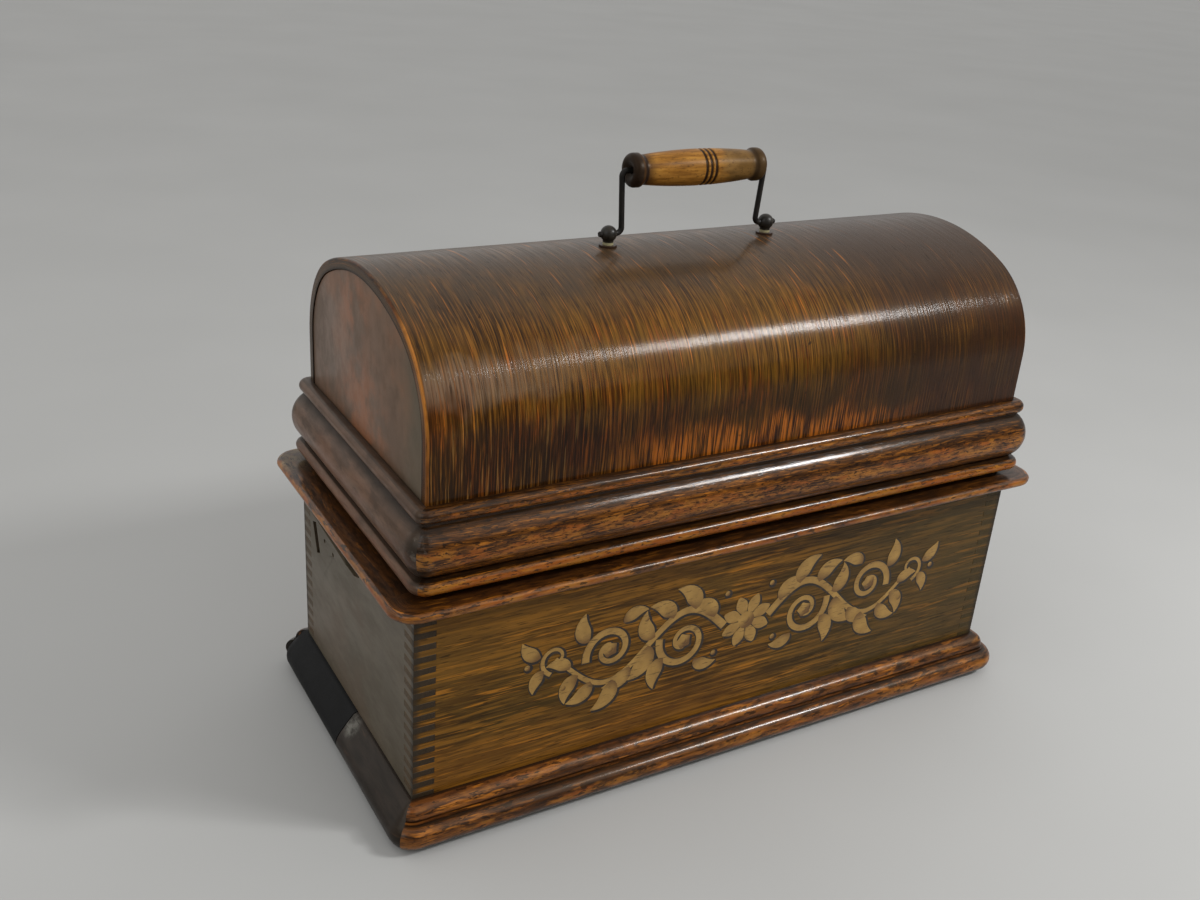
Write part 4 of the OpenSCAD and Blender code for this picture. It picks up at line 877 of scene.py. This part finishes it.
def make_top_board():
    """Bullnosed board: its edge runs round the case, and four strips close it in to the opening."""
    profile = board_profile()
    count = len(profile)
    verts, grain, wear_and_shading, faces = [], [], [], []
    inner = ({}, {})
    for seed, side, size, half in (
        (1, "front", CASE_D, CASE_W / 2), (2, "right", CASE_W, CASE_D / 2),
        (3, "rear", CASE_D, CASE_W / 2), (4, "left", CASE_W, CASE_D / 2),
    ):
        start = len(verts)
        stations = stations_along(-half, half, True, True)
        points = swept(profile, stations, side, size, BOARD_DENT, 20 + seed, BOARD_LAYER * seed)
        verts += points[0]
        grain += points[1]
        wear_and_shading += points[2]
        for k in range(len(stations) - 1):
            for i in range(count - 1):
                a = start + k * count + i
                faces.append((a, a + 1, a + count + 1, a + count))
        straight = [k for k, (x, turn) in enumerate(stations) if turn == STRAIGHT]
        inner[0][side] = [start + k * count for k in straight]
        inner[1][side] = [start + k * count + count - 1 for k in straight]
    corners = {}
    for level, z in ((0, BOARD_Z0), (1, BOARD_Z0 + BOARD_T)):
        corners[level] = []
        for x, y in ((-1, -1), (1, -1), (1, 1), (-1, 1)):
            corners[level].append(len(verts))
            verts.append((x * OPENING_X, y * OPENING_Y, z))
            grain.append((x * OPENING_X, y * OPENING_Y, 300.0))
            wear_and_shading.append(0.3)
    for i, side in enumerate(("front", "right", "rear", "left")):
        j = (i + 1) % 4
        for level in (0, 1):
            faces.append(tuple(inner[level][side] + [corners[level][j], corners[level][i]]))
        faces.append((corners[0][i], corners[0][j], corners[1][j], corners[1][i]))
    make_piece("top_board_looks", verts, faces, "works", "rim", ("top_board",), grain, wear_and_shading)


def dome_outline(inset):
    """Section of the dome from its front foot over the crown to its rear foot."""
    half = DOME_D / 2 - inset
    shoulder_z = DOME_TOP - DOME_RISE
    wall = [(-half, LID_Z0 + (shoulder_z - LID_Z0) * i / 12) for i in range(12)]
    front = arc((-SHOULDER_Y, shoulder_z), SHOULDER_R - inset, 180, 90 + CROWN_A, 20)
    crown = arc((0, DOME_TOP - CROWN_R), CROWN_R - inset, 90 + CROWN_A, 90 - CROWN_A, 40)
    half_line = wall + front + crown[1:21]
    return half_line + [(-y, z) for y, z in reversed(half_line[:-1])]


def make_dome():
    """Bent sheet: rounded edges at its two ends, a slight ripple at the top, and an inner face."""
    arris = [(0.0, 1.0), (0.15, 0.55), (0.45, 0.2), (1.0, 0.0), (1.8, 0.0), (3.0, 0.0)]
    half = DOME_W / 2
    margin = 8
    steps = 48
    inside = [-half + margin + (DOME_W - 2 * margin) * i / steps for i in range(steps + 1)]
    stations = [(-half + d, inset) for d, inset in arris]
    stations += [(x, 0.0) for x in inside]
    stations += [(half - d, inset) for d, inset in reversed(arris)]
    run = lengths(dome_outline(0.0))
    count = len(run)
    verts, grain, wear_and_shading = [], [], []
    for x, inset in stations:
        rub = 1.0 if half - abs(x) < DOME_EDGE else 0.62
        for (y, z), s in zip(dome_outline(inset), run):
            ripple = DOME_RIPPLE * noise.noise(Vector((x * 0.02, s * 0.012, 3.0)))
            fade = max(0.0, min(1.0, (z - RIPPLE_Z) / RIPPLE_RISE))
            verts.append((x, y, z + ripple * fade))
            grain.append((s, x, 0.0))
            wear_and_shading.append(rub)
    inner_start = len(verts)
    for x in (stations[0][0], stations[-1][0]):
        for (y, z), s in zip(dome_outline(SHEET_T), run):
            verts.append((x, y, z))
            grain.append((s, x, 40.0))
            wear_and_shading.append(0.12)
    faces = []
    for k in range(len(stations) - 1):
        for i in range(count - 1):
            a = k * count + i
            faces.append((a, a + count, a + count + 1, a + 1))
    last = (len(stations) - 1) * count
    for i in range(count - 1):
        a = inner_start + i
        b = inner_start + count + i
        faces.append((a, a + 1, b + 1, b))
        faces.append((i, i + 1, a + 1, a))
        faces.append((last + i + 1, last + i, b, b + 1))
    for i in (0, count - 1):
        ring = [k * count + i for k in range(len(stations))]
        faces.append(tuple(ring + [inner_start + count + i, inner_start + i]))
    make_piece("dome_shell_looks", verts, faces, "lid", "dome", ("dome_shell",), grain, wear_and_shading)


def make_dome_end(name, side):
    """Flat end of the dome, with a fine rounded arris that leaves a dark line inside the sheet."""
    half = DOME_W / 2
    stations = [(half - 0.5, 0.75), (half - 0.7, 0.35), (half - 1.2, 0.15), (half - DOME_END_T, 0.15)]
    verts = []
    for x, inset in stations:
        for y, z in dome_outline(SHEET_T + inset):
            verts.append((side * x, y, z))
    faces = ring_faces(len(stations), len(verts) // len(stations))
    make_piece(name + "_looks", verts, faces, "lid", name, (name,))


def make_grip():
    end = GRIP_L / 2
    collar = 8.0
    belly = end - collar
    rise = GRIP_R - GRIP_NECK_R
    belly_r = (belly ** 2 + rise ** 2) / (2 * rise)

    def belly_at(x):
        return GRIP_R - belly_r + math.sqrt(belly_r ** 2 - x ** 2)

    cap = [(WIRE_R + 0.25, end - 2.0, 0.3), (GRIP_COLLAR_R - 4.2, end - 0.1, 0.35)]
    for r, x in arc((GRIP_COLLAR_R - 3, end - 3), 3, 90, 0, 8):
        cap.append((r, x, 0.4))
    cap += [(GRIP_COLLAR_R, end - collar + 2.6, 0.4), (GRIP_COLLAR_R - 0.6, end - collar + 1.6, 0.2)]
    cap += [(GRIP_NECK_R + 0.3, end - collar + 1.0, 0.0), (GRIP_NECK_R, end - collar, 0.15)]
    body = [belly - 2 * belly * i / 40 for i in range(1, 40)]
    rings = [RING_X + RING_GAP, RING_X, RING_X - RING_GAP]
    middle = [(belly_at(x), x, 1.0) for x in body if abs(x - RING_X) > RING_GAP + 1.4]
    for x in rings:
        r = belly_at(x)
        cut = ((1.15, 0.0, 0.9), (0.6, 0.5, 0.0), (0.0, 0.62, 0.0), (-0.6, 0.5, 0.0), (-1.15, 0.0, 0.9))
        middle += [(r - deep, x + step, w) for step, deep, w in cut]
    middle.sort(key=lambda point: -point[1])
    profile = cap + middle + [(r, -x, w) for r, x, w in reversed(cap)]
    around = 64
    verts, wear_and_shading = [], []
    for r, x, w in profile:
        for a in circle(around):
            verts.append((x, r * math.cos(a), GRIP_Z + r * math.sin(a)))
            wear_and_shading.append(w)
    faces = ring_faces(len(profile), around, True)
    make_piece("grip_looks", verts, faces, "grip", "grip", ("grip",), None, wear_and_shading)


def bail_path():
    """Right half of the bail's centre line from the middle of the grip out to its foot, as (x, z)."""
    lean = math.radians(LEAN)
    leg = (BAIL_H - 2 * BEND_R * (1 + math.sin(lean))) / math.cos(lean)
    top_x = EYE_X - BALL_R - BALL_GAP - 2 * BEND_R * math.cos(lean) + leg * math.sin(lean)
    foot = 2 * BALL_R + BALL_GAP + 1.5
    points = [(0.0, GRIP_Z), (top_x * 0.5, GRIP_Z)]
    points += arc((top_x, GRIP_Z - BEND_R), BEND_R, 90, -LEAN, 12)
    x, z = points[-1]
    heading = -math.pi / 2 - lean
    for share in (0.25, 0.5, 0.75):
        points.append((x + leg * share * math.cos(heading), z + leg * share * math.sin(heading)))
    end = (x + leg * math.cos(heading), z + leg * math.sin(heading))
    centre = (end[0] + BEND_R * math.cos(lean), end[1] - BEND_R * math.sin(lean))
    points += arc(centre, BEND_R, 180 - LEAN, 270, 12)
    x, z = points[-1]
    return points + [(x + foot * 0.5, z), (x + foot - 0.5, z), (x + foot, z)]


def make_bail():
    right = bail_path()
    path = [(-x, z) for x, z in reversed(right[1:])] + right
    around = 20
    verts = []
    for i, (x, z) in enumerate(path):
        before = path[max(0, i - 1)]
        after = path[min(len(path) - 1, i + 1)]
        t = Vector((after[0] - before[0], 0, after[1] - before[1])).normalized()
        n = Vector((-t.z, 0, t.x))
        r = WIRE_R * (0.8 if i in (0, len(path) - 1) else 1.0)
        r *= 1 + 0.03 * noise.noise(Vector((x * 0.2, z * 0.2, 1.0)))
        for a in circle(around):
            verts.append(Vector((x, 0, z)) + r * (math.cos(a) * n + math.sin(a) * Vector((0, 1, 0))))
    make_piece("bail_looks", verts, ring_faces(len(path), around), "bail", "iron", ("bail",))


class Ornament:
    """Flat closed shapes on the front panel, each with a light and a dark edge."""

    def __init__(self, swell, shift, thick):
        self.thick = thick
        self.swell = swell
        self.shift = shift
        self.verts, self.faces, self.wear_and_shading = [], [], []
        self.layer = 0

    def prism(self, rings, closed):
        """Rows of (x, z, wear) across a shape, joined row to row, with a back and sides."""
        self.layer += 1
        front = -CASE_D / 2 - self.thick - LAYER_STEP * self.layer
        start = len(self.verts)
        width = len(rings[0])
        for y in (front, -CASE_D / 2 + LAYER_SINK):
            for ring in rings:
                for x, z, w in ring:
                    px = ORNAMENT_X + ORNAMENT_SCALE * x + self.shift
                    self.verts.append((px, y, ORNAMENT_Z + ORNAMENT_SCALE * z - self.shift))
                    self.wear_and_shading.append(w)
        back = len(rings) * width
        count = len(rings)
        for k in range(count if closed else count - 1):
            n = (k + 1) % count
            for i in range(width - 1):
                a, b = start + k * width + i, start + n * width + i
                self.faces.append((a, a + 1, b + 1, b))
                self.faces.append((a + back, b + back, b + back + 1, a + back + 1))
            for i in ((width - 1,) if closed else (0, width - 1)):
                a, b = start + k * width + i, start + n * width + i
                self.faces.append((a, b, b + back, a + back))
        if not closed:
            for k in (0, count - 1):
                for i in range(width - 1):
                    a = start + k * width + i
                    self.faces.append((a, a + 1, a + 1 + back, a + back))

    def stroke(self, line, widths, root=0.85):
        """A ribbon along a line of (x, z) points, for both halves of the panel, darker at its root."""
        for flip in (1, -1):
            rings = []
            for i, (x, z) in enumerate(line):
                before, after = line[max(0, i - 1)], line[min(len(line) - 1, i + 1)]
                run = Vector((after[0] - before[0], after[1] - before[1])).normalized()
                half = widths[i] / 2 + self.swell
                ring = []
                tone = root + (1 - root) * min(1.0, 2.2 * i / len(line))
                for side, w in ((1, 1.0), (0.35, 1.0), (-0.35, 0.9), (-1, 0.62)):
                    ring.append((flip * (x - run.y * half * side), z + run.x * half * side, w * tone))
                rings.append(ring)
            self.prism(rings, False)

    def leaf(self, root, turn, size, bend):
        """A pointed leaf that curves to one side."""
        line, widths = [], []
        for i in range(13):
            t = i / 12
            a = math.radians(turn + bend * t)
            line.append((root[0] + size * t * math.cos(a), root[1] + size * t * math.sin(a)))
            widths.append(max(0.25, 0.5 * size * math.sin(math.pi * t ** 0.8) ** 0.9))
        self.stroke(line, widths, 0.3)

    def disc(self, centre, radius, both=True, lobes=0):
        for flip in ((1, -1) if both else (1,)):
            rings = []
            for a in circle(48):
                r = (radius + self.swell) * (1 - (0.22 * abs(math.cos(lobes * a / 2)) if lobes else 0))
                w = 0.5 + 0.5 * math.cos(a - 2.3)
                inner = (flip * centre[0], centre[1], 0.7)
                rings.append([inner, (flip * centre[0] + r * math.cos(a), centre[1] + r * math.sin(a), w)])
            self.prism(rings, True)


def spiral(centre, r0, r1, a0, sweep, n=44):
    points = []
    for i in range(n + 1):
        t = i / n
        a = math.radians(a0 + sweep * t)
        r = r0 + (r1 - r0) * t ** 0.8
        points.append((centre[0] + r * math.cos(a), centre[1] + r * math.sin(a)))
    return points


def stem_at(x):
    return (x, STEM_RISE * math.sin(2 * math.pi * (x - STEM_START) / STEM_WAVE))


def taper(line, wide, slim):
    last = len(line) - 1
    return [wide + (slim - wide) * i / last for i in range(last + 1)]


def draw_ornament(name, material, swell, shift, thick):
    """A rosette with a running scroll of leaves on either side, the same left and right."""
    art = Ornament(swell, shift, thick)
    stem = [stem_at(STEM_START + (STEM_END - STEM_START) * i / 60) for i in range(61)]
    art.stroke(stem, taper(stem, 4.6, 2.2))
    for centre, r0, a0, sweep in (((38.5, -3.0), 15.5, 18, -470), ((82.0, 3.5), 14.0, -18, 470)):
        coil = spiral(centre, r0, 3.2, a0, sweep)
        art.stroke(coil, taper(coil, 4.2, 1.9))
        art.disc(centre, 4.6, True, 5)
        art.disc(centre, 1.7)
    tip = spiral((112.0, 6.5), 9.0, 2.2, -75, 330, 30)
    art.stroke(tip, taper(tip, 2.4, 1.4))
    for x, turn, size, bend in (
        (21, 82, 14, -42), (33, 100, 15, -50), (46, 75, 14, -40), (56, 20, 14, 50), (60, -100, 17, 45),
        (70, -70, 14, 40), (80, -105, 15, 50), (92, -78, 13, 42), (99, -20, 13, -45), (104, 60, 11, -40),
    ):
        art.leaf(stem_at(x), turn, 1.25 * size, bend)
    for centre, turn, size, bend in (
        ((50, -10), -35, 15, -40), ((31, -16), -125, 12, -40), ((94, 11), 40, 14, 40),
        ((75, 17), 122, 12, 40), ((120, 9), 15, 12, 30), ((118, 1), -30, 11, -35),
    ):
        art.leaf(centre, turn, 1.2 * size, bend)
    for x, z in ((14, 19), (62, 16), (107, -12), (19, -15), (127, 5)):
        art.disc((x, z), 1.5)
    shares = [i / 10 for i in range(11)]
    widths = [1.2 + 6.0 * math.sin(math.pi * min(1.0, 0.12 + 0.88 * t) ** 1.3) for t in shares]
    for turn in (22.5, 67.5, 292.5, 337.5):
        a = math.radians(turn)
        petal = [((4 + 11.5 * t) * math.cos(a), (4 + 11.5 * t) * math.sin(a)) for t in shares]
        art.stroke(petal, widths)
    art.disc((0, 0), 5.0, False)
    art.disc((0, 0), 2.2, False)
    make_piece(name, art.verts, art.faces, "cabinet", material, (), None, art.wear_and_shading, 60.0)


make_mouldings()
make_top_board()
make_dome()
make_dome_end("dome_end_left", -1)
make_dome_end("dome_end_right", 1)
make_grip()
make_bail()
draw_ornament("front_ornament_shade", "shade", 0.95, 0.7, 0.05)
draw_ornament("front_ornament", "gilt", 0.0, 0.0, 0.16)

# Finishes of the CAD nodes that stay
FINISHES = {
    "front": ["front_panel", "rear_panel"],
    "end": ["left_end_panel"],
    "end_right": ["right_end_panel"],
    "inner": ["bottom_board"],
    "brass": ["crank_escutcheon", "lower_hinge_leaves", "upper_hinge_leaves", "mandrel_pulley",
              "carriage_sleeve", "reproducer_body", "sound_tube", "floating_weight", "winding_gear",
              "spring_barrel", "great_gear", "first_train_wheel", "second_train_wheel", "drive_pulley",
              "governor_weights"],
    "japan": ["bedplate", "motor_frame_left", "motor_frame_right", "winding_bracket", "end_gate",
              "carriage_arm"],
    "steel": ["bedplate_screws", "motor_pillars", "back_rod", "straight_edge", "mandrel_shaft",
              "feed_nut_arm", "lift_lever", "brake_lever", "speed_screw", "winding_arbor", "ratchet_wheel",
              "ratchet_pawl", "winding_shaft", "mainspring", "drive_arbor", "governor_spindle"],
    "nickel": ["mandrel"],
    "leather": ["drive_belt"],
    "posts": ["handle_eye_posts"],
}
for finish, names in FINISHES.items():
    for name in names:
        obj = nodes[name]
        obj.data.materials.clear()
        obj.data.materials.append(materials[finish])
        weld = obj.modifiers.new("weld", "WELD")
        weld.merge_threshold = WELD_GAP
        edge = obj.modifiers.new("edge", "BEVEL")
        edge.width = EDGE_WIDTH * MM
        edge.segments = 2
        edge.limit_method = "ANGLE"
        edge.angle_limit = math.radians(EDGE_ANGLE)
        edge.use_clamp_overlap = True


def make_stage():
    mesh = bpy.data.meshes.new("floor")
    work = bmesh.new()
    bmesh.ops.create_grid(work, x_segments=2, y_segments=2, size=FLOOR_SIZE)
    work.to_mesh(mesh)
    work.free()
    s = Shader("pale_floor")
    cloud = s.grain(s.place(), (3, 3), 3, 0.5)
    s.colour = s.ramp(cloud, [(0.3, (0.42, 0.42, 0.41)), (0.7, (0.445, 0.445, 0.435))])
    s.rough = 0.6
    mesh.materials.append(s.finish(specular=0.2))
    floor = bpy.data.objects.new("floor", mesh)
    floor.location.z = -FLOOR_DROP
    scene.collection.objects.link(floor)


def make_light(name, place, target, size, power, along=None):
    """A rectangle that faces a target; its length may run along a given direction."""
    data = bpy.data.lights.new(name, "AREA")
    data.shape = "RECTANGLE"
    data.size, data.size_y = size
    data.energy = power
    lamp = bpy.data.objects.new(name, data)
    lamp.location = place
    away = (Vector(place) - Vector(target)).normalized()
    run = Vector(along) if along else Vector((0, 0, 1)).cross(away)
    run = (run - run.dot(away) * away).normalized()
    lamp.rotation_mode = "QUATERNION"
    lamp.rotation_quaternion = Matrix((run, away.cross(run), away)).transposed().to_quaternion()
    scene.collection.objects.link(lamp)


def make_world():
    """Soft room light, brighter above and behind than in front."""
    world = bpy.data.worlds.new("studio")
    scene.world = world
    world.use_nodes = True
    tree = world.node_tree
    back = tree.nodes["Background"]
    back.inputs["Color"].default_value = (1.0, 0.995, 0.985, 1)
    coord = tree.nodes.new("ShaderNodeTexCoord")
    tilt = tree.nodes.new("ShaderNodeVectorMath")
    tilt.operation = "DOT_PRODUCT"
    tilt.inputs[1].default_value = (0.0, 0.6, 0.8)
    tree.links.new(coord.outputs["Generated"], tilt.inputs[0])
    level = tree.nodes.new("ShaderNodeMapRange")
    level.interpolation_type = "SMOOTHSTEP"
    tree.links.new(tilt.outputs["Value"], level.inputs[0])
    for i, value in enumerate((-0.5, 0.9, 0.16, 0.82), start=1):
        level.inputs[i].default_value = value
    tree.links.new(level.outputs[0], back.inputs["Strength"])


# A point on the dome's shoulder, and the direction of the strip of light that is reflected along it
SHOULDER = (0.0, -0.07, 0.25)
KEY_RUN = (0.927, 0.284, -0.247)

make_stage()
make_world()
make_light("key", (0.8, -0.825, 1.115), SHOULDER, (0.38, 0.19), 9.4, KEY_RUN)
make_light("key_core", (0.889, -0.798, 1.09), SHOULDER, (0.14, 0.15), 3.6, KEY_RUN)
make_light("haze_highlight", (0.35, -1.3, 0.95), (-0.1, -0.07, 0.25), (1.3, 0.9), 2.6)
make_light("fill", (-1.6, -0.5, 1.1), (0.0, 0.0, 0.15), (1.4, 1.2), 6)
